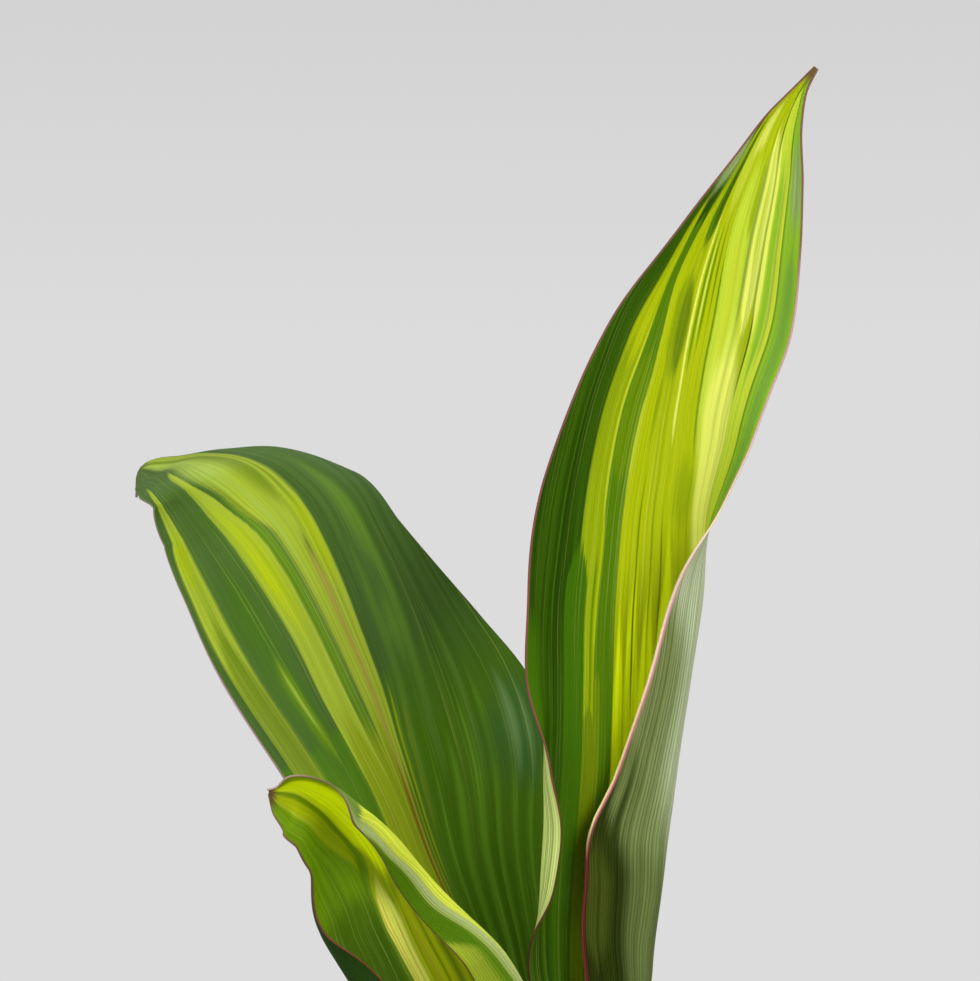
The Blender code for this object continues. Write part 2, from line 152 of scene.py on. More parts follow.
# A large leaf is a list of stations from foot to tip. A station holds the point on the midrib, the
# way the upper face looks (degrees about Z, 0 towards -Y, then degrees upwards), and for the left
# and the right half: width, rise at the midrib, further turn towards the edge (degrees), and where
# the turn starts, as a share of the half's width. SPAN is the share it takes. WAVE is how far the
# margins wave (degrees), then for the left and the right one how often, and where a wave starts.
TALL_SPAN = (0.45, 0.6)
TALL_WAVE = (5, 6, 0.1, 7, 0.4)
TALL_LEAF = (
    ((0.0031, 0.0067, 0.226), (-25, 0), (0.0055, 0, 25, 0.0), (0.0055, 0, 25, 0.0)),
    ((0.006, 0.013, 0.262), (-8, 0), (0.008, 10, 55, 0.0), (0.008, 10, 55, 0.0)),
    ((0.009, 0.012, 0.3), (0, 0), (0.02, 15, 50, 0.2), (0.028, 15, 120, 0.1)),
    ((0.013, 0.01, 0.33), (0, 0), (0.034, 10, 50, 0.5), (0.044, 5, 185, 0.11)),
    ((0.015, 0.009, 0.345), (0, 0), (0.0385, 12, 72, 0.5), (0.0466, 5, 185, 0.08)),
    ((0.017, 0.008, 0.364), (0, 0), (0.042, 18, 135, 0.565), (0.0488, 5, 185, 0.075)),
    ((0.019, 0.007, 0.383), (0, 0), (0.0435, 18, 145, 0.57), (0.05, 5, 185, 0.072)),
    ((0.021, 0.006, 0.404), (0, 0), (0.0445, 18, 110, 0.57), (0.0434, 5, 185, 0.138)),
    ((0.022, 0.004, 0.439), (0, 0), (0.046, 18, 30, 0.4), (0.0413, 0, 178, 0.231)),
    ((0.023, 0.002, 0.47), (0, 0), (0.0475, 18, 30, 0.4), (0.0426, 0, 150, 0.28)),
    ((0.026, 0.0, 0.505), (0, 0), (0.0434, 18, 25, 0.3), (0.037, 5, 78, 0.25)),
    ((0.033, -0.002, 0.533), (0, 0), (0.039, 16, 20, 0.3), (0.0363, 8, 42, 0.3)),
    ((0.04, -0.003, 0.55), (0, 0), (0.036, 14, 20, 0.3), (0.0327, 10, 25, 0.3)),
    ((0.05, -0.003, 0.574), (0, 0), (0.0296, 12, 20, 0.3), (0.031, 12, 20, 0.3)),
    ((0.059, -0.003, 0.598), (0, 0), (0.022, 14, 20, 0.3), (0.0247, 14, 20, 0.3)),
    ((0.068, -0.002, 0.62), (0, 0), (0.0143, 16, 20, 0.3), (0.0155, 16, 20, 0.3)),
    ((0.076, 0.0, 0.64), (0, 0), (0.0075, 20, 20, 0.3), (0.0066, 20, 20, 0.3)),
    ((0.082, 0.001, 0.652), (0, 0), (0.0023, 20, 20, 0.3), (0.0022, 20, 20, 0.3)),
    ((0.087, 0.002, 0.659), (0, 0), (0.0007, 20, 20, 0.3), (0.0007, 20, 20, 0.3)),
)
LEFT_SPAN = (0.7, 0.7)
LEFT_WAVE = (6, 5, 0.2, 5, 0.6)
LEFT_LEAF = (
    ((-0.0035, 0.0065, 0.212), (28, 0), (0.0055, 0, 25, 0.0), (0.0055, 0, 25, 0.0)),
    ((-0.012, 0.017, 0.262), (30, 10), (0.008, 10, 50, 0.0), (0.008, 10, 50, 0.0)),
    ((-0.021, 0.025, 0.304), (15, 20), (0.02, 20, 30, 0.2), (0.02, 15, 30, 0.2)),
    ((-0.034, 0.029, 0.336), (5, 30), (0.035, 15, 20, 0.2), (0.034, 5, 10, 0.2)),
    ((-0.049, 0.031, 0.368), (0, 30), (0.04, 10, 15, 0.2), (0.047, 0, 10, 0.2)),
    ((-0.064, 0.038, 0.408), (0, 30), (0.0435, 8, 10, 0.2), (0.057, 0, 5, 0.2)),
    ((-0.079, 0.047, 0.443), (0, 35), (0.052, 5, 5, 0.2), (0.0498, 0, 0, 0.2)),
    ((-0.099, 0.059, 0.485), (-5, 45), (0.0515, 4, -4, 0.2), (0.039, 0, -30, 0.3)),
    ((-0.111, 0.0745, 0.504), (-10, 50), (0.0495, 2, -2, 0.2), (0.0385, 5, -50, 0.3)),
    ((-0.125, 0.086, 0.518), (-20, 60), (0.0475, 7, -6, 0.2), (0.039, -5, -70, 0.2)),
    ((-0.141, 0.0975, 0.52), (-30, 60), (0.046, 14, -4, 0.2), (0.033, -15, -70, 0.2)),
    ((-0.155, 0.105, 0.517), (-40, 50), (0.033, 20, 4, 0.2), (0.022, -15, -60, 0.2)),
    ((-0.167, 0.109, 0.5145), (-50, 30), (0.0045, 20, 20, 0.2), (0.009, -15, -60, 0.2)),
    ((-0.169, 0.11, 0.504), (-50, 0), (0.0009, 20, 20, 0.2), (0.0009, -15, -60, 0.2)),
)
FRONT_SPAN = (0.5, 0.35)
FRONT_WAVE = (10, 6, 0.2, 5, 0.6)
FRONT_LEAF = (
    ((-0.007, -0.0024, 0.199), (109, 0), (0.0055, 0, 25, 0.0), (0.0055, 0, 25, 0.0)),
    ((-0.017, -0.008, 0.24), (80, 10), (0.008, 10, 40, 0.0), (0.008, 10, 40, 0.0)),
    ((-0.034, -0.016, 0.291), (18, 10), (0.026, 20, 60, 0.4), (0.043, 15, 170, 0.47)),
    ((-0.053, -0.021, 0.332), (8, 10), (0.0405, 10, 160, 0.4), (0.0474, 10, 175, 0.48)),
    ((-0.067, -0.024, 0.365), (0, 10), (0.037, 10, 110, 0.5), (0.0287, 10, 175, 0.41)),
    ((-0.08, -0.026, 0.388), (0, 10), (0.0272, 10, 60, 0.4), (0.0207, 45, 122, 0.44)),
    ((-0.089, -0.028, 0.397), (0, 10), (0.022, 16, 40, 0.4), (0.0185, 50, 40, 0.3)),
    ((-0.098, -0.0282, 0.4013), (0, 10), (0.0202, 18, 40, 0.4), (0.0105, 42, 40, 0.2)),
    ((-0.1055, -0.0255, 0.4008), (0, 10), (0.0094, 12, 40, 0.4), (0.0014, 40, 40, 0.2)),
    ((-0.1088, -0.0235, 0.4002), (0, 10), (0.0009, 10, 40, 0.4), (0.0009, 40, 60, 0.2)),
)

# Older leaves, lower on the cane: direction (degrees from +X), foot height, reach, height of
# the arch over the foot, drop of the tip below the arch, half width
LOW_LEAVES = (
    (-22, 0.186, 0.27, 0.094, 0.075, 0.04),
    (275, 0.174, 0.235, 0.08, 0.085, 0.043),
    (210, 0.162, 0.29, 0.072, 0.1, 0.044),
    (132, 0.15, 0.25, 0.084, 0.08, 0.042),
    (55, 0.168, 0.265, 0.082, 0.09, 0.041),
)
LOW_STATIONS = 9
LOW_STALK = 0.2
LOW_STALK_WIDTH = 0.0065
LOW_TIP_WIDTH = 0.0009
LOW_WIDEST = 0.85
LOW_FULLNESS = 0.8
# Bends of the arch as shares of the reach and of the arch's height
LOW_CLIMB = (0.1, 0.75)
LOW_CREST = (0.55, 1.45)
# At the foot and at the tip (degrees): the tilt of the face, the rise of each half, and its turn,
# which flattens over the lower half
LOW_TILT = (10, 85)
LOW_RISE = (22, 6)
LOW_TURN = (45, 5)
LOW_TURN_START = 0.1
LOW_SPAN = (0.8, 0.8)
LOW_WAVE = (14, 4, 0.1, 4, 0.45)

# ------------------------------------------------------------------- veins and stripes

# Veins leave the midrib and run off at the margin. A vein is named by a number, about its place
# across the leaf halfway up: -1 is the left margin, 0 the midrib, 1 the right margin. Each row
# holds a height, 0 at the foot and 1 at the tip, and the place of each vein across the leaf there.
TALL_VEINS = (-2.2, -1.0, -0.5, -0.33, -0.185, 0.2, 0.4, 0.62, 0.8, 1.0, 1.2, 1.4)
TALL_PATHS = (
    (0.0, (-2.2, -1.0, -0.52, -0.36, -0.2, 0.2, 0.28, 0.4, 0.52, 0.66, 0.82, 1.0)),
    (0.25, (-2.2, -1.0, -0.52, -0.36, -0.2, 0.2, 0.28, 0.4, 0.5, 0.66, 0.84, 1.0)),
    (0.3, (-2.2, -1.0, -0.52, -0.36, -0.2, 0.2, 0.28, 0.38, 0.47, 0.68, 0.86, 1.02)),
    (0.4, (-2.2, -1.0, -0.51, -0.36, -0.195, 0.19, 0.31, 0.44, 0.54, 0.76, 0.94, 1.1)),
    (0.5, (-2.2, -1.0, -0.5, -0.35, -0.19, 0.19, 0.36, 0.54, 0.68, 0.87, 1.05, 1.2)),
    (0.6, (-2.2, -1.0, -0.5, -0.33, -0.185, 0.2, 0.4, 0.62, 0.8, 1.0, 1.2, 1.4)),
    (0.65, (-2.3, -1.05, -0.55, -0.38, -0.2, 0.18, 0.39, 0.62, 0.8, 1.0, 1.2, 1.4)),
    (0.7, (-2.4, -1.15, -0.63, -0.45, -0.26, 0.08, 0.29, 0.59, 0.76, 1.0, 1.2, 1.4)),
    (0.75, (-2.5, -1.25, -0.72, -0.53, -0.39, -0.08, 0.15, 0.54, 0.73, 1.0, 1.2, 1.4)),
    (0.8, (-2.6, -1.35, -0.77, -0.67, -0.58, -0.24, 0.01, 0.44, 0.7, 1.0, 1.2, 1.4)),
    (0.85, (-2.7, -1.4, -0.88, -0.79, -0.68, -0.39, -0.16, 0.37, 0.64, 1.0, 1.2, 1.4)),
    (0.9, (-2.8, -1.45, -1.0, -0.9, -0.79, -0.58, -0.36, 0.28, 0.6, 1.0, 1.2, 1.4)),
    (0.95, (-2.9, -1.5, -1.12, -1.04, -0.95, -0.8, -0.62, 0.0, 0.56, 0.95, 1.2, 1.4)),
    (1.0, (-3.0, -1.6, -1.24, -1.16, -1.08, -0.95, -0.8, -0.2, 0.45, 0.9, 1.2, 1.4)),
)
LEFT_VEINS = (-1.4, -0.94, -0.82, -0.68, -0.48, -0.3, -0.2, 0.0, 0.16, 0.38, 0.6, 1.1, 1.8)
LEFT_PATHS = (
    (0.0, (-1.2, -0.7, -0.5, -0.38, -0.26, -0.1, -0.07, -0.01, 0.01, 0.04, 0.12, 0.45, 0.9)),
    (0.4, (-1.25, -0.86, -0.6, -0.44, -0.31, -0.12, -0.09, -0.05, 0.0, 0.05, 0.2, 0.7, 1.3)),
    (0.46, (-1.25, -0.87, -0.62, -0.47, -0.32, -0.13, -0.1, -0.04, 0.01, 0.06, 0.26, 0.75, 1.3)),
    (0.53, (-1.25, -0.9, -0.69, -0.5, -0.37, -0.18, -0.12, -0.02, 0.03, 0.1, 0.3, 0.8, 1.3)),
    (0.58, (-1.3, -0.91, -0.71, -0.53, -0.38, -0.19, -0.13, 0.0, 0.07, 0.18, 0.37, 0.85, 1.4)),
    (0.64, (-1.35, -0.93, -0.75, -0.57, -0.38, -0.2, -0.14, 0.0, 0.11, 0.25, 0.48, 0.9, 1.5)),
    (0.7, (-1.4, -0.95, -0.79, -0.62, -0.44, -0.23, -0.17, 0.0, 0.16, 0.33, 0.58, 1.0, 1.6)),
    (0.76, (-1.4, -0.95, -0.82, -0.68, -0.51, -0.29, -0.23, 0.0, 0.18, 0.38, 0.61, 1.1, 1.8)),
    (0.82, (-1.4, -0.93, -0.86, -0.74, -0.59, -0.44, -0.37, -0.02, 0.12, 0.3, 0.44, 1.2, 1.9)),
    (0.86, (-1.5, -0.96, -0.92, -0.8, -0.66, -0.59, -0.48, -0.05, 0.04, 0.2, 0.32, 1.3, 2.0)),
    (0.9, (-1.5, -0.9, -0.85, -0.74, -0.6, -0.5, -0.36, -0.04, 0.1, 0.32, 0.6, 1.5, 2.2)),
    (0.93, (-1.6, -1.02, -0.9, -0.72, -0.46, -0.36, -0.22, 0.06, 0.3, 0.6, 0.95, 1.9, 2.6)),
    (1.0, (-1.6, -1.1, -0.9, -0.7, -0.3, -0.2, -0.1, 0.15, 0.5, 0.9, 1.3, 2.2, 2.8)),
)
FRONT_VEINS = (-1.6, -0.9, -0.35, -0.2, -0.12, 0.02, 0.3, 0.6, 1.0)
FRONT_PATHS = (
    (0.0, (-1.2, -0.6, -0.14, -0.1, -0.07, 0.02, 0.16, 0.4, 0.7)),
    (0.4, (-1.4, -0.75, -0.15, -0.11, -0.07, 0.02, 0.22, 0.5, 0.9)),
    (0.6, (-1.5, -0.85, -0.16, -0.12, -0.07, 0.02, 0.28, 0.6, 1.0)),
    (0.66, (-1.5, -0.85, -0.18, -0.15, -0.11, 0.0, 0.28, 0.6, 1.0)),
    (0.7, (-1.6, -0.9, -0.2, -0.17, -0.14, 0.0, 0.28, 0.6, 1.1)),
    (0.76, (-1.6, -0.9, -0.2, -0.16, -0.12, 0.01, 0.3, 0.6, 1.1)),
    (0.8, (-1.7, -1.0, -0.22, -0.11, -0.05, 0.04, 0.34, 0.7, 1.2)),
    (0.84, (-1.7, -1.05, -0.31, -0.16, -0.1, 0.03, 0.36, 0.7, 1.3)),
    (0.88, (-1.8, -1.1, -0.41, -0.2, -0.13, 0.01, 0.38, 0.8, 1.4)),
    (0.92, (-1.9, -1.2, -0.45, -0.2, -0.13, 0.01, 0.4, 0.8, 1.5)),
    (0.96, (-2.1, -1.3, -0.46, -0.16, -0.06, 0.06, 0.45, 0.9, 1.6)),
    (1.0, (-2.2, -1.5, -0.5, -0.1, 0.0, 0.1, 0.5, 1.0, 1.8)),
)
LOW_VEINS = (-2.0, -1.0, 0.0, 1.0, 2.0)
LOW_PATHS = (
    (0.0, (-1.1, -0.55, 0.0, 0.55, 1.1)),
    (0.5, (-1.7, -0.85, 0.0, 0.85, 1.7)),
    (1.0, (-3.2, -1.6, 0.0, 1.6, 3.2)),
)

# Screen colours of the stripes. The settings hold four more: green, lime, pale and bloom.
LEAF_COLOURS = {
    "bloom_green": (112, 136, 80),
    # This colour and the next paint the bloom darker, as painted shade on the tall leaf's turned-over half
    "bloom_mid": (130, 144, 86),
    "bloom_shade": (112, 128, 70),
    "blue_green": (117, 164, 54),
    # Painted sheen: a soft blue-green highlight on the left leaf's lower right
    "blue_sheen": (66, 108, 44),
    "cream": (216, 222, 90),
    # Partly painted light: the pale underside of the tall leaf's left curl, made brighter as if lit through
    # from behind
    "curl": (214, 231, 138),
    # Painted shade: the darkest part of the tall leaf's turned-over half, by its free margin and foot
    "dark_olive": (44, 56, 2),
    "green_band": (68, 106, 22),
    "green_bright": (112, 148, 2),
    "green_dark": (34, 64, 12),
    "green_deep_low": (76, 116, 12),
    "green_even": (84, 124, 4),
    "green_gap": (98, 136, 22),
    "green_light": (140, 184, 42),
    "green_mid": (72, 104, 6),
    "green_mist": (92, 128, 42),
    "green_pale": (152, 176, 66),
    "green_shade": (58, 90, 1),
    "green_soft": (84, 120, 24),
    "green_streak": (102, 148, 34),
    "green_tip": (92, 112, 52),
    "green_warm": (104, 138, 4),
    "lime_bright": (194, 208, 50),
    "lime_deep": (150, 170, 4),
    # Painted light: a lime brighter than the leaf's own, laid where the leaf lies in shade
    "lime_fresh": (228, 246, 4),
    "lime_light": (190, 211, 54),
    # Partly painted light: the rolled half's outer side, made as bright as where light falls on it
    "lime_mist": (216, 228, 70),
    "lime_shade": (144, 164, 4),
    "lime_soft": (156, 174, 46),
    "lime_warm": (162, 180, 18),
    "lit_veins": (76, 88, 22),
    "olive": (112, 134, 4),
    "olive_mist": (114, 135, 24),
    "olive_soft": (104, 124, 16),
    "olive_warm": (138, 154, 14),
    "pale_high": (206, 222, 80),
    "rib": (160, 150, 58),
    "rib_dark": (122, 98, 8),
    "rib_red": (176, 128, 52),
    "roll_green": (122, 152, 62),
    # This colour and the next are painted highlights: a thin whitish glint line, and the whitish band that
    # lies along the front leaf's rolled half and in streaks near the tall leaf's tip
    "roll_line": (196, 208, 150),
    "roll_sheen": (168, 184, 112),
    # This colour and the next are painted sheen: soft whitish highlights on the leaves' faces
    "sheen": (136, 160, 96),
    "sheen_low": (120, 154, 92),
}

# Stripes, from the first painted to the last: left and right vein, lower and upper end as heights,
# colour, softness of the sides, length of the drawn-out ends
TALL_STRIPES = (
    (-1.6, -0.86, 0.36, 0.6, "green", 0.12, 0.1),
    (-0.725, -0.715, 0.45, 0.9, "green", 0.008, 0.1),
    (-0.51, -0.325, 0.36, 0.87, "lime_deep", 0.012, 0.05),
    (-0.605, -0.42, -0.2, 0.61, "green", 0.012, 0.06),
    (-0.372, -0.352, 0.43, 0.6, "green_warm", 0.008, 0.04),
    (-0.5, -0.35, 0.69, 0.895, "lime", 0.03, 0.06),
    (-0.49, -0.42, 0.6, 0.78, "lime_shade", 0.02, 0.08),
    (-0.42, -0.325, -0.2, 0.47, "olive", 0.01, 0.03),
    (-0.325, -0.182, -0.2, 0.865, "green_even", 0.008, 0.03),
    (-0.33, -0.28, -0.2, 0.488, "olive", 0.008, 0.012),
    (-0.32, -0.19, 0.61, 0.76, "green_warm", 0.03, 0.05),
    (-0.348, -0.33, 0.565, 0.8, "lime_bright", 0.008, 0.08),
    (-0.338, -0.32, 0.472, 0.64, "lime", 0.005, 0.06),
    (-0.18, 0.64, 0.22, 1.2, "lime", 0.006, 0.08),
    # These five rows are painted light: the lime made brighter low on the leaf, to make up for the shade in
    # the fold by the turned-over half
    (-0.182, -0.09, 0.1, 0.6, "lime_fresh", 0.012, 0.18),
    (-0.1, 0.03, 0.1, 0.65, "lime_fresh", 0.014, 0.22),
    (0.02, 0.17, 0.1, 0.63, "lime_fresh", 0.016, 0.2),
    (0.16, 0.33, 0.1, 0.67, "lime_fresh", 0.016, 0.22),
    (0.32, 0.64, 0.1, 0.64, "lime_fresh", 0.03, 0.16),
    (-0.06, -0.02, 0.64, 0.76, "lime_shade", 0.016, 0.06),
    (-0.04, -0.026, 0.4, 0.7, "olive", 0.006, 0.1),
    (-0.19, -0.176, 0.6, 0.73, "lime_bright", 0.008, 0.05),
    (-0.09, 0.11, 0.7, 0.83, "lime_shade", 0.03, 0.05),
    (-0.01, 0.15, 0.7, 0.83, "olive", 0.034, 0.06),
    (-0.02, 0.158, 0.815, 0.965, "green_even", 0.016, 0.04),
    (0.05, 0.14, 0.825, 0.93, "green_shade", 0.03, 0.04),
    (-0.17, -0.135, 0.83, 0.94, "green_even", 0.012, 0.05),
    (-0.1, -0.075, 0.845, 0.95, "green_even", 0.01, 0.05),
    (0.085, 0.095, 0.45, 0.7, "lime_shade", 0.006, 0.1),
    (0.172, 0.186, 0.48, 0.64, "olive", 0.006, 0.06),
    (0.165, 0.195, 0.655, 0.88, "pale", 0.01, 0.04),
    (0.19, 0.4, 0.83, 0.985, "lime_bright", 0.03, 0.08),
    (0.215, 0.24, 0.7, 0.88, "green_warm", 0.012, 0.06),
    (0.245, 0.262, 0.735, 0.87, "pale_high", 0.008, 0.05),
    (0.27, 0.292, 0.72, 0.88, "green_warm", 0.01, 0.06),
    (0.33, 0.35, 0.74, 0.9, "olive", 0.01, 0.08),
    # Painted shade: a soft fold across the stripes
    (0.26, 0.42, 0.58, 0.69, "lime_deep", 0.06, 0.05),
    (0.4, 0.53, 0.64, 0.96, "lime_light", 0.04, 0.1),
    (0.384, 0.402, 0.64, 0.86, "green_warm", 0.007, 0.06),
    (0.42, 0.64, 0.54, 0.86, "pale_high", 0.05, 0.16),
    (0.44, 0.5, 0.72, 0.88, "lime_bright", 0.012, 0.06),
    (0.455, 0.65, 0.5, 0.8, "pale", 0.03, 0.09),
    (0.5, 0.535, 0.83, 0.94, "lime_deep", 0.014, 0.04),
    (0.3, 0.44, 0.9, 0.98, "pale", 0.05, 0.03),
    (0.545, 0.622, 0.75, 0.97, "pale", 0.01, 0.06),
    (0.57, 0.585, 0.8, 0.93, "lime_light", 0.008, 0.05),
    (0.53, 0.544, 0.76, 0.945, "green_pale", 0.006, 0.045),
    (0.622, 0.64, 0.77, 0.965, "green_pale", 0.006, 0.045),
    (0.655, 0.8, 0.56, 1.0, "lime_light", 0.008, 0.04),
    (0.64, 0.676, 0.752, 0.96, "pale", 0.007, 0.06),
    (0.69, 0.745, 0.7, 0.96, "green_light", 0.016, 0.08),
    (0.755, 0.772, 0.72, 0.94, "green_pale", 0.01, 0.06),
    (0.78, 0.812, 0.605, 0.945, "lime_bright", 0.007, 0.04),
    (0.82, 1.3, 0.56, 1.2, "green_light", 0.016, 0.06),
    (0.87, 0.96, 0.6, 0.88, "blue_green", 0.03, 0.06),
    # These five rows are painted sheen: whitish highlights on both margins near the tip
    (0.86, 0.99, 0.84, 0.97, "sheen", 0.06, 0.06),
    (0.885, 0.9, 0.85, 0.95, "roll_sheen", 0.01, 0.05),
    (-0.6, -0.15, 0.845, 0.965, "sheen", 0.1, 0.06),
    (-0.42, -0.39, 0.865, 0.95, "roll_sheen", 0.016, 0.04),
    (-0.29, -0.26, 0.86, 0.95, "roll_sheen", 0.014, 0.04),
    (0.7, 1.4, 0.955, 1.2, "green_light", 0.2, 0.03),
)
LEFT_STRIPES = (
    (-3.0, 6.0, -0.4, 0.7, "green_deep_low", 0.1, 0.3),
    (-0.77, -0.59, 0.45, 0.79, "green_band", 0.08, 0.12),
    (-0.71, -0.64, 0.5, 0.67, "green_warm", 0.04, 0.06),
    (-0.69, -0.67, 0.53, 0.66, "green_pale", 0.016, 0.06),
    (-0.94, -0.825, 0.1, 0.93, "lime_soft", 0.014, 0.06),
    (-0.94, -0.825, 0.2, 0.76, "olive_mist", 0.02, 0.16),
    (-0.92, -0.85, 0.7, 0.84, "lime_warm", 0.03, 0.06),
    (-0.48, -0.02, 0.1, 0.62, "olive_warm", 0.05, 0.16),
    (-0.31, -0.18, 0.46, 0.9, "green_gap", 0.05, 0.16),
    (-0.48, -0.3, 0.1, 0.93, "lime_soft", 0.014, 0.06),
    (-0.48, -0.3, 0.1, 0.64, "olive_warm", 0.024, 0.16),
    (-0.45, -0.34, 0.6, 0.86, "lime_warm", 0.05, 0.1),
    (-0.43, -0.39, 0.64, 0.78, "lime", 0.04, 0.07),
    (-0.21, 0.17, 0.7, 1.1, "lime_soft", 0.04, 0.1),
    (-0.15, -0.01, 0.3, 0.97, "lime_soft", 0.03, 0.08),
    (-0.13, -0.02, 0.2, 0.64, "olive_warm", 0.03, 0.16),
    (0.02, 0.16, 0.1, 0.85, "lime_soft", 0.016, 0.06),
    (0.05, 0.14, 0.66, 0.83, "lime_warm", 0.04, 0.06),
    (0.04, 0.14, 0.2, 0.56, "olive_soft", 0.03, 0.1),
    (-0.26, -0.06, 0.78, 1.1, "green_pale", 0.08, 0.1),
    (-0.05, 0.04, 0.74, 1.15, "olive_mist", 0.04, 0.1),
    (0.09, 0.11, 0.74, 1.15, "olive_mist", 0.02, 0.08),
    (-0.12, -0.1, 0.64, 0.9, "green_pale", 0.016, 0.1),
    (-0.2, -0.18, 0.7, 0.9, "olive_mist", 0.016, 0.1),
    (-0.028, 0.028, 0.2, 0.77, "rib", 0.026, 0.08),
    (-0.08, 0.0, 0.2, 0.56, "rib_dark", 0.03, 0.1),
    (0.47, 0.6, 0.62, 0.9, "green_mist", 0.06, 0.14),
    (0.4, 0.6, 0.54, 0.72, "green_mist", 0.08, 0.12),
    (0.38, 0.42, 0.4, 0.78, "green_mist", 0.04, 0.12),
    (0.385, 0.405, 0.4, 0.6, "olive_mist", 0.016, 0.06),
    (0.54, 0.6, 0.42, 0.84, "green_mist", 0.04, 0.12),
    (0.18, 0.34, 0.2, 0.6, "green_soft", 0.06, 0.1),
    (0.225, 0.265, 0.35, 0.62, "lime_shade", 0.024, 0.08),
    (0.7, 0.74, 0.3, 0.64, "green_soft", 0.04, 0.12),
    (0.82, 0.85, 0.4, 0.7, "green_mist", 0.024, 0.12),
    (0.96, 1.0, 0.3, 0.62, "green_soft", 0.05, 0.12),
    (0.48, 0.51, 0.15, 0.56, "green_streak", 0.024, 0.14),
    (0.62, 0.68, 0.15, 0.58, "green_streak", 0.03, 0.14),
    (0.76, 0.82, 0.15, 0.61, "green_streak", 0.03, 0.14),
    (0.9, 0.93, 0.2, 0.64, "green_streak", 0.024, 0.14),
    (1.03, 1.06, 0.2, 0.6, "green_streak", 0.03, 0.14),
    (1.17, 1.2, 0.2, 0.58, "green_streak", 0.03, 0.12),
    # These three rows are painted sheen on the left leaf's lower right
    (0.9, 1.5, 0.4, 0.6, "blue_sheen", 0.25, 0.1),
    (1.06, 1.12, 0.42, 0.6, "sheen_low", 0.05, 0.09),
    (1.2, 1.23, 0.42, 0.58, "sheen_low", 0.05, 0.08),
    (-1.4, 2.8, 0.95, 1.2, "green_tip", 0.1, 0.04),
)
FRONT_STRIPES = (
    # These three rows paint the left half darker below its top: painted shade
    (-0.75, -0.16, -0.4, 0.8, "green_mid", 0.26, 0.08),
    (-0.46, -0.26, -0.4, 0.76, "green_shade", 0.14, 0.08),
    (-1.4, -0.7, -0.4, 0.68, "green_mid", 0.26, 0.08),
    (-0.6, -0.205, 0.82, 1.2, "green_bright", 0.12, 0.08),
    (-0.38, -0.205, 0.74, 1.2, "lime_deep", 0.04, 0.12),
    (-0.33, -0.22, 0.84, 1.1, "lime", 0.04, 0.1),
    (-0.14, 0.6, -0.4, 1.2, "lime_deep", 0.016, 0.06),
    (0.03, 0.32, -0.4, 0.78, "lime", 0.04, 0.08),
    # Painted light: the lime made brighter towards the tip, to make up for the shade in the fold there
    (-0.12, 0.3, 0.72, 1.1, "lime_fresh", 0.07, 0.12),
    (0.12, 0.26, 0.68, 0.84, "lime_shade", 0.06, 0.09),
    (-0.2, -0.16, 0.76, 0.96, "olive", 0.02, 0.08),
    (-0.14, 0.035, -0.4, 0.82, "cream", 0.02, 0.13),
    (-0.118, -0.108, 0.1, 0.79, "rib_red", 0.01, 0.08),
    (-0.082, -0.076, 0.1, 0.8, "rib_red", 0.01, 0.08),
    (-0.02, -0.012, 0.1, 0.76, "rib_red", 0.01, 0.08),
    (0.07, 0.076, 0.1, 0.76, "olive", 0.01, 0.08),
    (0.115, 0.12, 0.1, 0.74, "rib_red", 0.01, 0.08),
    (0.175, 0.19, 0.1, 0.76, "olive", 0.016, 0.08),
    (0.24, 0.3, 0.1, 0.72, "olive", 0.03, 0.08),
)
LOW_STRIPES = (
    (-0.95, -0.78, 0.1, 0.86, "green", 0.03, 0.16),
    (-0.66, -0.56, 0.05, 0.92, "lime_shade", 0.014, 0.16),
    (-0.47, -0.44, 0.15, 0.8, "lime_shade", 0.01, 0.16),
    (-0.3, -0.14, 0.0, 1.1, "lime", 0.014, 0.16),
    (-0.04, 0.04, -0.2, 1.1, "lime_shade", 0.012, 0.16),
    (-0.008, 0.008, -0.2, 0.94, "rib", 0.006, 0.16),
    (0.1, 0.17, 0.05, 0.96, "lime", 0.012, 0.16),
    (0.28, 0.36, 0.15, 0.8, "green", 0.02, 0.16),
    (0.42, 0.58, 0.05, 0.88, "lime_shade", 0.014, 0.16),
    (0.7, 0.73, 0.2, 0.76, "lime_shade", 0.008, 0.16),
)

# Stripes of the undersides, in the same way
TALL_BACK = (
    (-0.3, 1.8, -0.2, 0.7, "bloom", 0.06, 0.06),
    # This row and the next six paint the bloom darker towards the free margin and the foot: painted shade
    # where the turned-over half faces away from the light
    (0.45, 1.8, -0.2, 0.52, "bloom_mid", 0.2, 0.24),
    (0.84, 1.8, -0.2, 0.68, "bloom_mid", 0.12, 0.2),
    (0.55, 1.8, -0.2, 0.42, "bloom_shade", 0.1, 0.14),
    (0.96, 1.8, -0.2, 0.5, "bloom_shade", 0.08, 0.12),
    (0.98, 1.8, -0.2, 0.44, "dark_olive", 0.09, 0.12),
    (1.08, 1.13, -0.2, 0.47, "dark_olive", 0.03, 0.1),
    (1.22, 1.26, -0.2, 0.49, "dark_olive", 0.03, 0.1),
    (1.14, 1.36, 0.22, 0.375, "lit_veins", 0.07, 0.06),
    # The left curl: its pale underside, partly painted light shining through it
    (-1.4, -0.55, -0.2, 0.52, "curl", 0.04, 0.06),
)
LEFT_BACK = ((-2.0, 2.8, -0.2, 1.2, "bloom_green", 0.1, 0.02),)
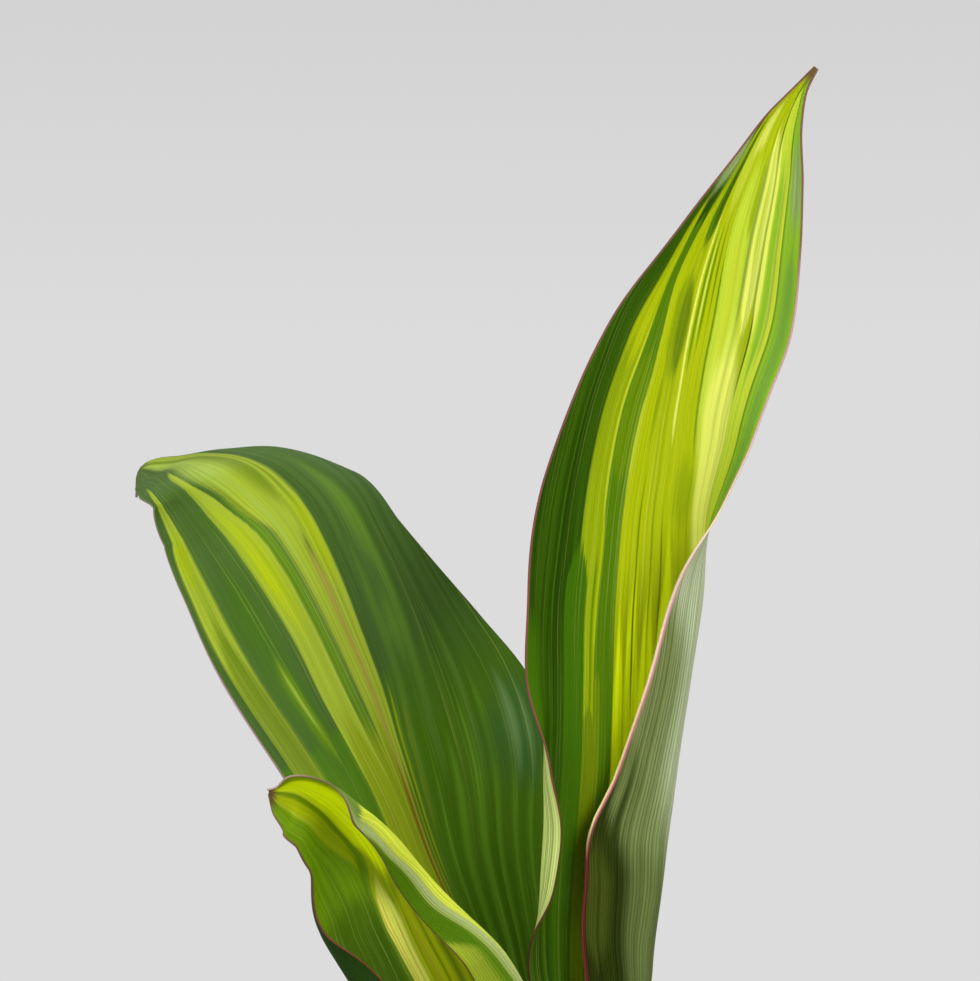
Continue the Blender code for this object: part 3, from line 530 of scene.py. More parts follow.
FRONT_BACK = (
    # The rolled half's outer side, partly painted light
    (0.25, 2.0, 0.2, 1.2, "lime_mist", 0.06, 0.06),
    (0.74, 2.0, -0.2, 1.2, "green_even", 0.06, 0.06),
    (0.84, 2.0, -0.2, 0.7, "lime_soft", 0.06, 0.08),
    (1.0, 1.1, -0.2, 0.67, "lime_shade", 0.04, 0.06),
    # This row and the next are a painted highlight along the rolled half: a whitish band with a thin
    # brighter line in it
    (0.69, 0.76, 0.3, 0.93, "roll_sheen", 0.03, 0.08),
    (0.704, 0.714, 0.3, 0.84, "roll_line", 0.008, 0.06),
    (0.3, 2.0, 0.82, 1.2, "roll_green", 0.06, 0.08),
    # Painted highlight along the top of the rolled half
    (0.66, 0.84, 0.8, 1.2, "roll_sheen", 0.06, 0.06),
    (-2.0, -0.3, 0.3, 1.2, "green_dark", 0.08, 0.06),
)
LOW_BACK = ((-4.0, 4.0, -0.2, 1.2, "bloom_green", 0.1, 0.02),)

# Margins, left and right: width on the face and on the underside, then heights with the screen
# colour there. After them the colours of the cut edge, in the same way.
TALL_LEFT_EDGE = ((0.3, (92, 48, 34)), (0.5, (132, 78, 72)), (0.8, (136, 88, 82)))
TALL_RIGHT_EDGE = (
    (0.335, (96, 36, 30)),
    (0.39, (214, 112, 140)),
    (0.55, (222, 150, 172)),
    (0.8, (206, 150, 160)),
    (0.87, (128, 76, 70)),
)
TALL_MARGINS = ((0.0005, 0.0005, TALL_LEFT_EDGE), (0.0006, 0.0019, TALL_RIGHT_EDGE))
TALL_RIMS = (
    ((0.3, (96, 56, 40)), (0.5, (140, 70, 70)), (0.8, (120, 70, 60))),
    (
        (0.33, (120, 52, 52)),
        (0.37, (240, 226, 150)),
        (0.55, (244, 220, 190)),
        (0.8, (214, 160, 176)),
        (0.87, (140, 84, 76)),
    ),
)
LEFT_MARGINS = (
    (0.0004, 0.0005, ((0.4, (120, 78, 74)), (0.6, (176, 136, 146)), (0.9, (110, 110, 70)))),
    (0.0003, 0.0005, ((0.4, (104, 56, 44)), (0.55, (78, 92, 52)), (0.9, (96, 116, 74)))),
)
LEFT_RIMS = (
    ((0.4, (120, 78, 74)), (0.6, (190, 150, 162)), (0.9, (130, 124, 96))),
    ((0.4, (104, 56, 44)), (0.55, (84, 100, 56)), (0.9, (110, 130, 90))),
)
FRONT_MARGINS = (
    (0.0005, 0.0006, ((0.6, (104, 48, 30)), (0.85, (74, 46, 14)), (0.95, (120, 84, 50)))),
    (0.0006, 0.0006, ((0.6, (78, 62, 20)), (0.93, (96, 76, 44)), (0.97, (176, 148, 128)))),
)
FRONT_RIMS = (
    ((0.6, (120, 60, 44)), (0.85, (88, 60, 30)), (0.97, (130, 100, 70))),
    ((0.6, (104, 84, 44)), (0.93, (120, 104, 70)), (0.97, (190, 164, 144))),
)
LOW_MARGINS = ((0.0005, 0.0006, ((0.2, (96, 52, 36)), (0.7, (122, 58, 60)))),) * 2
LOW_RIMS = (((0.2, (104, 60, 44)), (0.7, (140, 74, 76))),) * 2

# Share of the veins' strength on the front leaf's underside
FRONT_VEINING = 0.45

# ------------------------------------------------------------------------------ studio

# Lamps: name, place, width, the setting that holds the power, and the share of it that each takes
LAMPS = (
    ("Key", (1.15, -1.15, 1.45), 1.0, "key_power", 1.0),
    ("Top", (-0.2, 0.5, 1.7), 1.2, "key_power", 0.3),
    ("Fill", (-1.4, -1.4, 0.9), 1.4, "fill_power", 1.0),
)
LAMP_AIM = (0.0, 0.0, 0.45)
CAMERA_ASIDE = -0.0306
CAMERA_HEIGHT = 0.50658
# Heights over the horizon between which the backdrop darkens, as sines
SKY_FADE = (0.04, 0.15)


# ---------------------------------------------------------------------------- settings


class PotSettings(bpy.types.PropertyGroup):
    """Sizes and colours of the pot and its soil."""

    height: bpy.props.FloatProperty(
        name="Height", description="Height of the pot", default=0.122, unit="LENGTH"
    )
    foot_radius: bpy.props.FloatProperty(
        name="Foot Radius", description="Outer radius at the foot", default=0.047, unit="LENGTH"
    )
    rim_radius: bpy.props.FloatProperty(
        name="Rim Radius", description="Outer radius of the rim", default=0.066, unit="LENGTH"
    )
    rim_height: bpy.props.FloatProperty(
        name="Rim Height", description="Height of the rim band", default=0.013, unit="LENGTH"
    )
    rim_step: bpy.props.FloatProperty(
        name="Rim Step", description="How far the rim stands out", default=0.0022, unit="LENGTH"
    )
    wall: bpy.props.FloatProperty(
        name="Wall", description="Thickness of the wall", default=0.0045, unit="LENGTH"
    )
    floor: bpy.props.FloatProperty(
        name="Floor", description="Thickness of the floor", default=0.008, unit="LENGTH"
    )
    soil_top: bpy.props.FloatProperty(
        name="Soil Top", description="Height of the soil at the wall", default=0.108, unit="LENGTH"
    )
    soil_hole: bpy.props.FloatProperty(
        name="Soil Hole", description="Depth of the hole for the cane", default=0.045, unit="LENGTH"
    )
    crumbs: bpy.props.IntProperty(
        name="Crumbs", description="Number of loose crumbs on the soil", default=620, min=0
    )
    glaze: bpy.props.FloatVectorProperty(
        name="Glaze", description="Colour of the glaze", subtype="COLOR", default=tint(206, 203, 196)
    )
    fleck: bpy.props.FloatVectorProperty(
        name="Fleck", description="Colour of the flecks", subtype="COLOR", default=tint(122, 112, 98)
    )
    soil: bpy.props.FloatVectorProperty(
        name="Soil", description="Colour of the soil", subtype="COLOR", default=tint(62, 46, 34)
    )


class CaneSettings(bpy.types.PropertyGroup):
    """Sizes and colours of the cane and the rolled young leaf on it."""

    top: bpy.props.FloatProperty(
        name="Top", description="Height of the cane's top", default=0.232, unit="LENGTH"
    )
    scar_spacing: bpy.props.FloatProperty(
        name="Scar Spacing", description="Distance between leaf scars", default=0.0105, unit="LENGTH"
    )
    scar_depth: bpy.props.FloatProperty(
        name="Scar Depth", description="Depth of a leaf scar", default=0.00045, unit="LENGTH"
    )
    spear_top: bpy.props.FloatProperty(
        name="Young Leaf Top", description="Height of the rolled leaf's tip", default=0.318, unit="LENGTH"
    )
    spear_radius: bpy.props.FloatProperty(
        name="Young Leaf Radius", description="Radius of the rolled leaf", default=0.0042, unit="LENGTH"
    )
    bark: bpy.props.FloatVectorProperty(
        name="Bark", description="Colour of the bark", subtype="COLOR", default=tint(150, 132, 98)
    )
    scar: bpy.props.FloatVectorProperty(
        name="Scar", description="Colour of a leaf scar", subtype="COLOR", default=tint(84, 66, 46)
    )


class LeafSettings(bpy.types.PropertyGroup):
    """Thickness, fineness and colours of the leaves."""

    blade: bpy.props.FloatProperty(
        name="Blade", description="Thickness of a blade", default=0.0007, unit="LENGTH"
    )
    stalk: bpy.props.FloatProperty(
        name="Stalk", description="Thickness of a stalk", default=0.0024, unit="LENGTH"
    )
    large_across: bpy.props.IntProperty(
        name="Large Across", description="Faces across half a large leaf", default=40, min=8, max=60
    )
    large_along: bpy.props.IntProperty(
        name="Large Along", description="Faces along a large leaf", default=230, min=40, max=400
    )
    low_across: bpy.props.IntProperty(
        name="Low Across", description="Faces across half a lower leaf", default=20, min=6, max=40
    )
    low_along: bpy.props.IntProperty(
        name="Low Along", description="Faces along a lower leaf", default=130, min=30, max=300
    )
    margin: bpy.props.FloatProperty(
        name="Margin", description="Share of the margins' usual width", default=1.0, min=0.1
    )
    deep: bpy.props.FloatVectorProperty(
        name="Deep", description="Darkest green", subtype="COLOR", default=tint(34, 65, 1)
    )
    green: bpy.props.FloatVectorProperty(
        name="Green", description="Middle green", subtype="COLOR", default=tint(66, 110, 4)
    )
    lime: bpy.props.FloatVectorProperty(
        name="Lime", description="Broad stripes", subtype="COLOR", default=tint(174, 188, 4)
    )
    pale: bpy.props.FloatVectorProperty(
        name="Pale", description="Palest stripes", subtype="COLOR", default=tint(226, 232, 100)
    )
    underside: bpy.props.FloatVectorProperty(
        name="Underside", description="Bloom of the undersides", subtype="COLOR", default=tint(200, 211, 170)
    )


class StudioSettings(bpy.types.PropertyGroup):
    """The floor, the light and the camera."""

    floor_radius: bpy.props.FloatProperty(
        name="Floor Radius", description="Radius of the floor", default=1.2, unit="LENGTH"
    )
    backdrop: bpy.props.FloatVectorProperty(
        name="Backdrop", description="Behind the plant", subtype="COLOR", default=tint(220, 220, 220)
    )
    room_light: bpy.props.FloatProperty(
        name="Room Light", description="Light of the surroundings on the plant", default=0.47, min=0.0
    )
    key_power: bpy.props.FloatProperty(
        name="Key Light", description="Power of the main light", default=28.0, unit="POWER"
    )
    fill_power: bpy.props.FloatProperty(
        name="Fill Light", description="Power of the fill light", default=21.0, unit="POWER"
    )
    distance: bpy.props.FloatProperty(
        name="Distance", description="From the camera to the plant", default=1.3, unit="LENGTH"
    )
    lens: bpy.props.FloatProperty(name="Lens", description="Focal length", default=132.52, unit="CAMERA")


GROUPS = (
    ("cordyline_pot", PotSettings),
    ("cordyline_cane", CaneSettings),
    ("cordyline_leaf", LeafSettings),
    ("cordyline_studio", StudioSettings),
)


# ----------------------------------------------------------------------- shader writing


class Shade:
    """A node's output. Sums and products written with it add Math nodes."""

    def __init__(self, finish, out):
        self.finish = finish
        self.out = out

    def maths(self, operation, *values):
        return self.finish.node("ShaderNodeMath", {"operation": operation}, dict(enumerate(values)))

    def __add__(self, other):
        return self.maths("ADD", self, other)

    def __radd__(self, other):
        return self.maths("ADD", other, self)

    def __sub__(self, other):
        return self.maths("SUBTRACT", self, other)

    def __rsub__(self, other):
        return self.maths("SUBTRACT", other, self)

    def __mul__(self, other):
        return self.maths("MULTIPLY", self, other)

    def __rmul__(self, other):
        return self.maths("MULTIPLY", other, self)

    def __abs__(self):
        return self.maths("ABSOLUTE", self)

    def least(self, other):
        return self.maths("MINIMUM", self, other)

    def ripple(self):
        return self.maths("SINE", self)


class Finish:
    """The nodes of a material or of the world, written as Python expressions."""

    def __init__(self, owner):
        self.owner = bpy.data.materials.new(owner) if isinstance(owner, str) else owner
        self.owner.use_nodes = True
        self.tree = self.owner.node_tree
        self.tree.nodes.clear()

    def node(self, kind, settings=None, inputs=None, output=0):
        """Adds a node: its settings first, then a value or a link for each input."""
        made = self.tree.nodes.new(kind)
        for key, value in (settings or {}).items():
            if key == "stops":
                for stop, (position, colour) in zip(made.color_ramp.elements, value):
                    stop.position = position
                    stop.color = (*colour, 1.0)
            else:
                setattr(made, key, value)
        for key, value in (inputs or {}).items():
            if isinstance(value, Shade):
                self.tree.links.new(value.out, made.inputs[key])
            else:
                made.inputs[key].default_value = value
        return Shade(self, made.outputs[output] if made.outputs else None)

    def place(self):
        """The point's place on the object, in metres."""
        return self.node("ShaderNodeTexCoord", output="Object")

    def part(self, point, axis):
        """One number out of a point."""
        return self.node("ShaderNodeSeparateXYZ", None, {0: point}, axis)

    def surface(self):
        """The vein number and the height of a point on a leaf, from its UV map."""
        both = self.node("ShaderNodeUVMap", {"uv_map": "Veins"})
        return self.part(both, "X"), self.part(both, "Y")

    def attribute(self, name):
        """A number that the mesh keeps for each vertex."""
        return self.node("ShaderNodeAttribute", {"attribute_name": name}, output="Fac")

    def noise(self, where, scale=1.0, detail=2.0, rough=0.5):
        inputs = {"Vector": where, "Scale": scale, "Detail": detail, "Roughness": rough}
        return self.node("ShaderNodeTexNoise", None, inputs, "Fac")

    def fibres(self, surface, across, along, seed, detail=1.0, rough=0.5):
        """Noise drawn out along the veins: how fine it is across and along them, and its seed."""
        vein, height = surface
        point = self.node("ShaderNodeCombineXYZ", None, {0: vein * across, 1: height * along, 2: seed})
        return self.noise(point, 1.0, detail, rough)

    def ease(self, value, start, end, low=0.0, high=1.0):
        """Runs softly from low to high while value runs from start to end."""
        inputs = {0: value, 1: start, 2: end, 3: low, 4: high}
        return self.node("ShaderNodeMapRange", {"interpolation_type": "SMOOTHSTEP"}, inputs)

    def mix(self, factor, first, second, blend="MIX"):
        """Blends two colours."""
        full = [value if isinstance(value, Shade) else (*value, 1.0) for value in (first, second)]
        settings = {"data_type": "RGBA", "blend_type": blend}
        return self.node("ShaderNodeMix", settings, {0: factor, 6: full[0], 7: full[1]}, 2)

    def over(self, under, colour, value, start, end, low=0.0, high=1.0):
        """Lays a colour over another, softly from low to high while value runs from start to end."""
        return self.mix(self.ease(value, start, end, low, high), under, colour)

    def bump(self, height, distance):
        """Relief of a height from 0 to 1, over a distance in metres."""
        return self.node("ShaderNodeBump", None, {"Height": height, "Distance": distance, "Strength": 1.0})

    def close(self, colour, roughness, normal=None, **fixed):
        """Joins everything in one surface, and gives the material."""
        inputs = {"Base Color": colour, "Roughness": roughness}
        if normal is not None:
            inputs["Normal"] = normal
        inputs.update({key.replace("_", " "): value for key, value in fixed.items()})
        skin = self.node("ShaderNodeBsdfPrincipled", None, inputs)
        self.node("ShaderNodeOutputMaterial", None, {"Surface": skin})
        return self.owner


# --------------------------------------------------------------------- looks of the leaves

LEAF_GLOW = {
    "Subsurface_Weight": 0.2,
    "Subsurface_Radius": (1.0, 1.0, 0.2),
    "Subsurface_Scale": 0.001,
    "Specular_IOR_Level": 0.05,
}
# How far a stripe's sides sway and fray, in vein numbers, and its ends, in height
STRIPE_SWAY = 0.014
STRIPE_FRAY = 0.007
STRIPE_END_FRAY = 0.024
STRIPE_END_FADE = 0.7
VEIN_RELIEF = 0.0002


def leaf_colours():
    """The leaf colours by name, with those that the settings hold."""
    leaf = bpy.context.scene.cordyline_leaf
    own = {"green": leaf.green, "lime": leaf.lime, "pale": leaf.pale, "bloom": leaf.underside}
    colours = {name: tint(*screen) for name, screen in LEAF_COLOURS.items()}
    colours.update({name: tuple(colour) for name, colour in own.items()})
    return colours


def deep_ground():
    """The darker and the lighter ground colour of a green leaf."""
    return tuple(bpy.context.scene.cordyline_leaf.deep), tint(56, 94, 6)


def striped(finish, surface, ground, stripes):
    """Paints the stripes of a leaf, one over the other, on its ground colour."""
    colours = leaf_colours()
    vein, height = surface
    sway = finish.fibres(surface, 5.0, 3.0, 4.0)
    grain = finish.fibres(surface, 46.0, 7.0, 1.0, 2.0)
    fray = finish.fibres(surface, 110.0, 5.0, 7.0)
    depth = finish.fibres(surface, 14.0, 2.0, 9.0, 3.0)
    moved = vein + (sway - 0.5) * STRIPE_SWAY + (grain - 0.5) * STRIPE_FRAY
    reach = height + (fray - 0.5) * STRIPE_END_FRAY
    colour = finish.over(*ground, depth, 0.35, 0.70)
    for left, right, low, high, name, soft, ends in stripes:
        share = finish.ease(reach, low, low + ends)
        share = share.least(finish.ease(reach, high, high - ends))
        inside = share * (0.5 * (right - left) + soft) - abs(moved - 0.5 * (left + right))
        cover = finish.ease(inside, 0.0, 2.0 * soft) * finish.ease(share, 0.0, STRIPE_END_FADE)
        colour = finish.mix(cover, colour, colours[name])
    return colour


def up_the_leaf(finish, height, stops):
    """A colour that changes softly from stop to stop, from the foot to the tip."""
    colour = tint(*stops[0][1])
    for (start, _), (end, later) in zip(stops, stops[1:]):
        colour = finish.over(colour, tint(*later), height, start, end)
    return colour


def both_sides(finish, height, left, right):
    """A colour that runs up the left margin in its own stops, and up the right one in its own."""
    side = finish.ease(finish.attribute("across"), -0.1, 0.1)
    return finish.mix(side, up_the_leaf(finish, height, left), up_the_leaf(finish, height, right))


def edged(finish, colour, height, margins, back, rims=None):
    """Paints the left and the right margin, each in its own width and colours."""
    usual = bpy.context.scene.cordyline_leaf.margin
    left, right = (usual * margin[1 if back else 0] for margin in margins)
    width = left + (right - left) * finish.ease(finish.attribute("across"), -0.1, 0.1)
    near = finish.attribute("edge")
    red = both_sides(finish, height, margins[0][2], margins[1][2])
    colour = finish.over(colour, red, near, width, width * 0.6, 0.0, 0.9)
    if rims:
        colour = finish.over(colour, both_sides(finish, height, *rims), near, width * 0.55, width * 0.3)
    return colour


def leaf_face(name, ground, stripes, margins):
    """The upper face: stripes, fine veins, a red margin and a dry tip."""
    finish = Finish(name)
    surface = finish.surface()
    height = surface[1]
    colour = striped(finish, surface, ground, stripes)
    streaks = finish.fibres(surface, 75.0, 2.5, 2.0, 3.0, 0.6)
    broad = finish.fibres(surface, 26.0, 2.0, 8.0)
    threads = finish.fibres(surface, 260.0, 5.0, 6.0)
    bands = finish.ease(broad, 0.48, 0.70) * finish.ease(height, 0.55, 0.85, 0.22, 0.30)
    colour = finish.mix(bands, colour, tint(72, 108, 4))
    colour = finish.over(colour, tint(44, 84, 4), streaks, 0.54, 0.74, 0.0, 0.26)
    colour = finish.over(colour, tint(220, 230, 120), streaks, 0.46, 0.26, 0.0, 0.20)
    colour = finish.over(colour, tint(56, 86, 4), threads, 0.50, 0.72, 0.0, 0.22)
    colour = edged(finish, colour, height, margins, False)
    dry = height + (streaks - 0.5) * 0.03
    colour = finish.over(colour, tint(112, 92, 52), dry, 0.980, 0.994)
    relief = finish.bump(threads * 0.4 + streaks, VEIN_RELIEF)
    return finish.close(colour, finish.ease(streaks, 0.2, 0.8, 0.36, 0.50), relief, **LEAF_GLOW)


def leaf_back(name, stripes, back_stripes, margins, rims, veining):
    """The underside: a grey bloom over faint stripes, and close dark veins."""
    leaf = bpy.context.scene.cordyline_leaf
    finish = Finish(name)
    surface = finish.surface()
    vein, height = surface
    faint = striped(finish, surface, (tuple(leaf.green), tint(84, 116, 40)), stripes)
    colour = finish.mix(0.8, faint, tuple(leaf.underside))
    colour = striped(finish, surface, (colour, colour), back_stripes)
    streaks = finish.fibres(surface, 52.0, 1.6, 2.0, 2.0, 0.6)
    shade = veining * finish.ease(streaks, 0.46, 0.70, 0.0, 0.85)
    colour = finish.mix(shade, colour, tint(176, 182, 148), "MULTIPLY")
    veil = finish.fibres(surface, 11.0, 1.2, 3.0, 2.0)
    wobble = finish.fibres(surface, 9.0, 3.0, 5.0, 2.0)
    lines = (vein * 280.0 + wobble * 9.0).ripple()
    strength = veining * finish.ease(veil, 0.3, 0.65, 0.22, 0.62)
    colour = finish.mix(finish.ease(lines, 0.0, 0.9) * strength, colour, tint(58, 72, 28))
    colour = edged(finish, colour, height, margins, True, rims)
    return finish.close(colour, 0.55, finish.bump(lines * 0.5, VEIN_RELIEF), **LEAF_GLOW)


def leaf_rim(name, rims):
    """The cut edge round a blade."""
    finish = Finish(name)
    height = finish.surface()[1]
    return finish.close(both_sides(finish, height, *rims), 0.5, Specular_IOR_Level=0.2)


def leaf_looks(name, ground, stripes, back_stripes, margins, rims, veining=1.0):
    """The looks of a leaf's upper face, its underside and its cut edge."""
    face = leaf_face(f"{name} face", ground, stripes, margins)
    back = leaf_back(f"{name} underside", stripes, back_stripes, margins, rims, veining)
    return [face, back, leaf_rim(f"{name} edge", rims)]


def spear_look():
    """The rolled young leaf: the lower leaves' stripes, with pale lines along it."""
    finish = Finish("Young leaf")
    surface = finish.surface()
    colour = striped(finish, surface, deep_ground(), LOW_STRIPES)
    lines = finish.fibres(surface, 40.0, 2.0, 0.0)
    colour = finish.over(colour, tint(150, 172, 60), lines, 0.4, 0.7, 0.35, 0.65)
    return finish.close(colour, 0.45, finish.bump(lines, VEIN_RELIEF), **LEAF_GLOW)


# ----------------------------------------------------------- looks of the pot, soil and cane


def pot_glaze():
    """Warm grey glaze: fine iron flecks, slow pooling, and bare clay at the foot."""
    pot = bpy.context.scene.cordyline_pot
    finish = Finish("Speckled glaze")
    place = finish.place()
    pools = finish.noise(place, 28.0, 3.0)
    flecks = finish.noise(place, 1400.0, 1.0)
    spots = finish.noise(place, 420.0, 1.0)
    colour = finish.over(tuple(pot.glaze), tint(192, 188, 178), pools, 0.3, 0.7)
    colour = finish.over(colour, tuple(pot.fleck), flecks, 0.66, 0.72, 0.0, 0.75)
    colour = finish.over(colour, tint(96, 84, 70), spots, 0.72, 0.75, 0.0, 0.8)
    bare = finish.ease(finish.part(place, "Z") + (pools - 0.5) * 0.0012, 0.0030, 0.0024)
    colour = finish.mix(bare, colour, tint(186, 160, 128))
    roughness = finish.ease(flecks, 0.4, 0.7, 0.30, 0.42) + bare * 0.4
    relief = finish.bump(pools + flecks * 0.15, 0.0006)
    return finish.close(colour, roughness, relief, Specular_IOR_Level=0.5)


def soil_looks():
    """The looks of soil, of its lighter crumbs and of the white grit in it."""
    soil = Finish("Damp soil")
    place = soil.place()
    clods = soil.noise(place, 320.0, 4.0)
    specks = soil.noise(place, 1300.0, 1.0)
    colour = soil.over(tuple(bpy.context.scene.cordyline_pot.soil), tint(96, 74, 54), clods, 0.35, 0.7)
    colour = soil.over(colour, tint(150, 128, 100), specks, 0.66, 0.74, 0.0, 0.6)
    damp = soil.close(colour, 0.92, soil.bump(clods + specks * 0.4, 0.0012), Specular_IOR_Level=0.25)
    bark = Finish("Bark crumbs")
    fibres = bark.noise(bark.place(), 700.0, 3.0)
    colour = bark.over(tint(84, 60, 40), tint(134, 102, 70), fibres, 0.3, 0.7)
    crumbs = bark.close(colour, 0.9, bark.bump(fibres, 0.0005), Specular_IOR_Level=0.25)
    grit = Finish("White grit")
    holes = grit.noise(grit.place(), 1500.0, 2.0)
    colour = grit.over(tint(176, 170, 158), tint(236, 233, 226), holes, 0.35, 0.6)
    white = grit.close(colour, 0.85, grit.bump(holes, 0.0005), Specular_IOR_Level=0.3)
    return [damp, crumbs, white]


def bark_look():
    """Dry bark: pale between the scars, dark in them, with fine cracks along the cane."""
    cane = bpy.context.scene.cordyline_cane
    finish = Finish("Cane bark")
    place = finish.place()
    patches = finish.noise(place, 130.0, 3.0)
    stretched = finish.node("ShaderNodeMapping", None, {"Vector": place, "Scale": (900.0, 900.0, 90.0)})
    cracks = finish.noise(stretched, 1.0, 3.0)
    colour = finish.over(tuple(cane.bark), tint(120, 112, 72), patches, 0.3, 0.7)
    colour = finish.over(colour, tint(86, 68, 48), cracks, 0.55, 0.72, 0.0, 0.6)
    colour = finish.over(colour, tuple(cane.scar), finish.attribute("scar"), 0.15, 0.75, 0.0, 0.9)
    return finish.close(colour, 0.82, finish.bump(cracks, 0.0004), Specular_IOR_Level=0.3)


# ------------------------------------------------------------------------ piece building


def to_mesh(bm, name):
    """A mesh of that name from the bmesh, which it frees."""
    mesh = bpy.data.meshes.new(name)
    bm.to_mesh(mesh)
    bm.free()
    return mesh


def add_piece(name, bm, looks, node):
    """Puts a mesh in the scene as the piece that stands for a CAD node."""
    mesh = to_mesh(bm, name)
    for look in looks:
        mesh.materials.append(look)
    mesh.shade_smooth()
    piece = bpy.data.objects.new(name, mesh)
    bpy.context.scene.collection.objects.link(piece)
    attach(piece, "root")
    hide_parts(node)
    return piece


def spun(profile, sides):
    """Spins a profile about Z, closed at both ends on the axis, with its faces outwards."""
    bm = bmesh.new()
    corners = [bm.verts.new((radius, 0.0, height)) for radius, height in profile]
    edges = [bm.edges.new(pair) for pair in zip(corners, corners[1:])]
    bmesh.ops.spin(
        bm, geom=corners + edges, cent=(0, 0, 0), axis=(0, 0, 1), angle=math.tau, steps=sides, use_merge=True
    )
    bmesh.ops.remove_doubles(bm, verts=bm.verts, dist=MERGE)
    bmesh.ops.recalc_face_normals(bm, faces=bm.faces)
    return bm


def map_veins(bm, place):
    """Writes each vertex's vein number and height in the UV map that the leaf looks read."""
    layer = bm.loops.layers.uv.new("Veins")
    for face in bm.faces:
        for loop in face.loops:
            loop[layer].uv = place[loop.vert]


def through(knots, values, at):
    """A smooth curve through the values at the knots, with tangents from their neighbours."""
    step = np.diff(knots)[:, None]
    slope = np.diff(values, axis=0) / step
    tangent = np.empty_like(values)
    tangent[0] = slope[0]
    tangent[-1] = slope[-1]
    tangent[1:-1] = (slope[:-1] * step[1:] + slope[1:] * step[:-1]) / (step[1:] + step[:-1])
    knot = np.clip(np.searchsorted(knots, at, side="right") - 1, 0, len(knots) - 2)
    gap = step[knot]
    share = (at - knots[knot])[:, None] / gap
    return (
        (2 * share**3 - 3 * share**2 + 1) * values[knot]
        + (share**3 - 2 * share**2 + share) * gap * tangent[knot]
        + (3 * share**2 - 2 * share**3) * values[knot + 1]
        + (share**3 - share**2) * gap * tangent[knot + 1]
    )


def unit(vectors):
    """The vectors at length 1."""
    return vectors / np.linalg.norm(vectors, axis=-1, keepdims=True)


def half_section(half, extra_turn, span, shares):
    """Points along half a cross-section: outwards, and towards the upper face's side."""
    width, rise, turn, start = half
    middle = (np.arange(SECTION_STEPS) + 0.5) / SECTION_STEPS
    bent = np.clip((middle - start) / span, 0, 1)
    slope = np.radians(rise + (turn + extra_turn) * bent**2 * (3 - 2 * bent))
    ends = np.linspace(0, 1, SECTION_STEPS + 1)
    runs = (np.cos(slope), np.sin(slope))
    lines = [np.concatenate([[0], np.cumsum(run)]) * width / SECTION_STEPS for run in runs]
    return [np.interp(shares, ends, line) for line in lines]


def leaf_points(stations, spans, wave, shares, along):
    """Rows of points from foot to tip, and the half widths of each row."""
    rows = np.array([sum(station, ()) for station in stations], float)
    length = np.linalg.norm(np.diff(rows[:, :3], axis=0), axis=1)
    knots = np.concatenate([[0], np.cumsum(length)]) / length.sum()
    climb = np.linspace(0, 1, along + 1)
    at = through(knots, rows, climb)
    ahead = through(knots, rows[:, :3], np.clip(climb + NEARBY, 0, 1))
    tangent = unit(ahead - through(knots, rows[:, :3], np.clip(climb - NEARBY, 0, 1)))
    face, tilt = np.radians(at[:, 3]), np.radians(at[:, 4])
    look = np.stack([np.sin(face) * np.cos(tilt), -np.cos(face) * np.cos(tilt), np.sin(tilt)], 1)
    normal = unit(look - (look * tangent).sum(1, keepdims=True) * tangent)
    right = np.cross(tangent, normal)
    size, left_count, left_phase, right_count, right_phase = wave
    fade = np.sqrt(np.clip(np.sin(math.pi * (climb - WAVE_START) / (1 - WAVE_START)), 0, 1))
    left_wave = size * fade * np.sin(2 * math.pi * (left_count * climb + left_phase))
    right_wave = size * fade * np.sin(2 * math.pi * (right_count * climb + right_phase))
    points = np.empty((along + 1, 2 * len(shares) - 1, 3))
    for row in range(along + 1):
        left_out, left_up = half_section(at[row, 5:9], left_wave[row], spans[0], shares)
        right_out, right_up = half_section(at[row, 9:13], right_wave[row], spans[1], shares)
        out = np.concatenate([-left_out[::-1], right_out[1:]])
        up = np.concatenate([left_up[::-1], right_up[1:]])
        points[row] = at[row, :3] + out[:, None] * right[row] + up[:, None] * normal[row]
    return points, at[:, (5, 9)]


def between(ends, share):
    """The value at a share of the way from the first end to the second."""
    return ends[0] + (ends[1] - ends[0]) * share


def low_stations(direction, foot_height, reach, arch, drop, half_width):
    """Stations of an arching leaf in its own upright plane, turned to its direction."""
    heading = math.radians(direction)
    bend = np.array(
        [
            [FOOT_RADIUS, foot_height],
            [FOOT_RADIUS + LOW_CLIMB[0] * reach, foot_height + LOW_CLIMB[1] * arch],
            [LOW_CREST[0] * reach, foot_height + LOW_CREST[1] * arch],
            [reach, foot_height + arch - drop],
        ]
    )
    stations = []
    for number in range(LOW_STATIONS):
        share = number / (LOW_STATIONS - 1)
        rest = 1 - share
        weights = np.array([rest**3, 3 * share * rest**2, 3 * share**2 * rest, share**3])
        radius, height = weights @ bend
        blade = max(0.0, (share - LOW_STALK) / (1 - LOW_STALK))
        full = math.sin(math.pi * blade**LOW_WIDEST) ** LOW_FULLNESS
        width = LOW_TIP_WIDTH if share == 1 else between((LOW_STALK_WIDTH, half_width), full)
        rise = 0 if number == 0 else between(LOW_RISE, share)
        start = 0.0 if number == 0 else LOW_TURN_START
        side = (width, rise, between(LOW_TURN, min(1.0, 2 * share)), start)
        point = (radius * math.cos(heading), radius * math.sin(heading), height)
        stations.append((point, (direction - 90, between(LOW_TILT, share)), side, side))
    return stations


def thickness_share(along, across):
    """1 where a leaf is as thick as its stalk, 0 where it is as thin as its blade."""
    stalk = min(max((STALK_THIN_END - along) / (STALK_THIN_END - STALK_THICK_END), 0.0), 1.0)
    rib = RIB_SHARE * (1 - along)
    return max(stalk, rib) * max(0.0, 1 - abs(across) * (1 + RIB_NARROW * (1 - stalk))) ** RIB_FALL


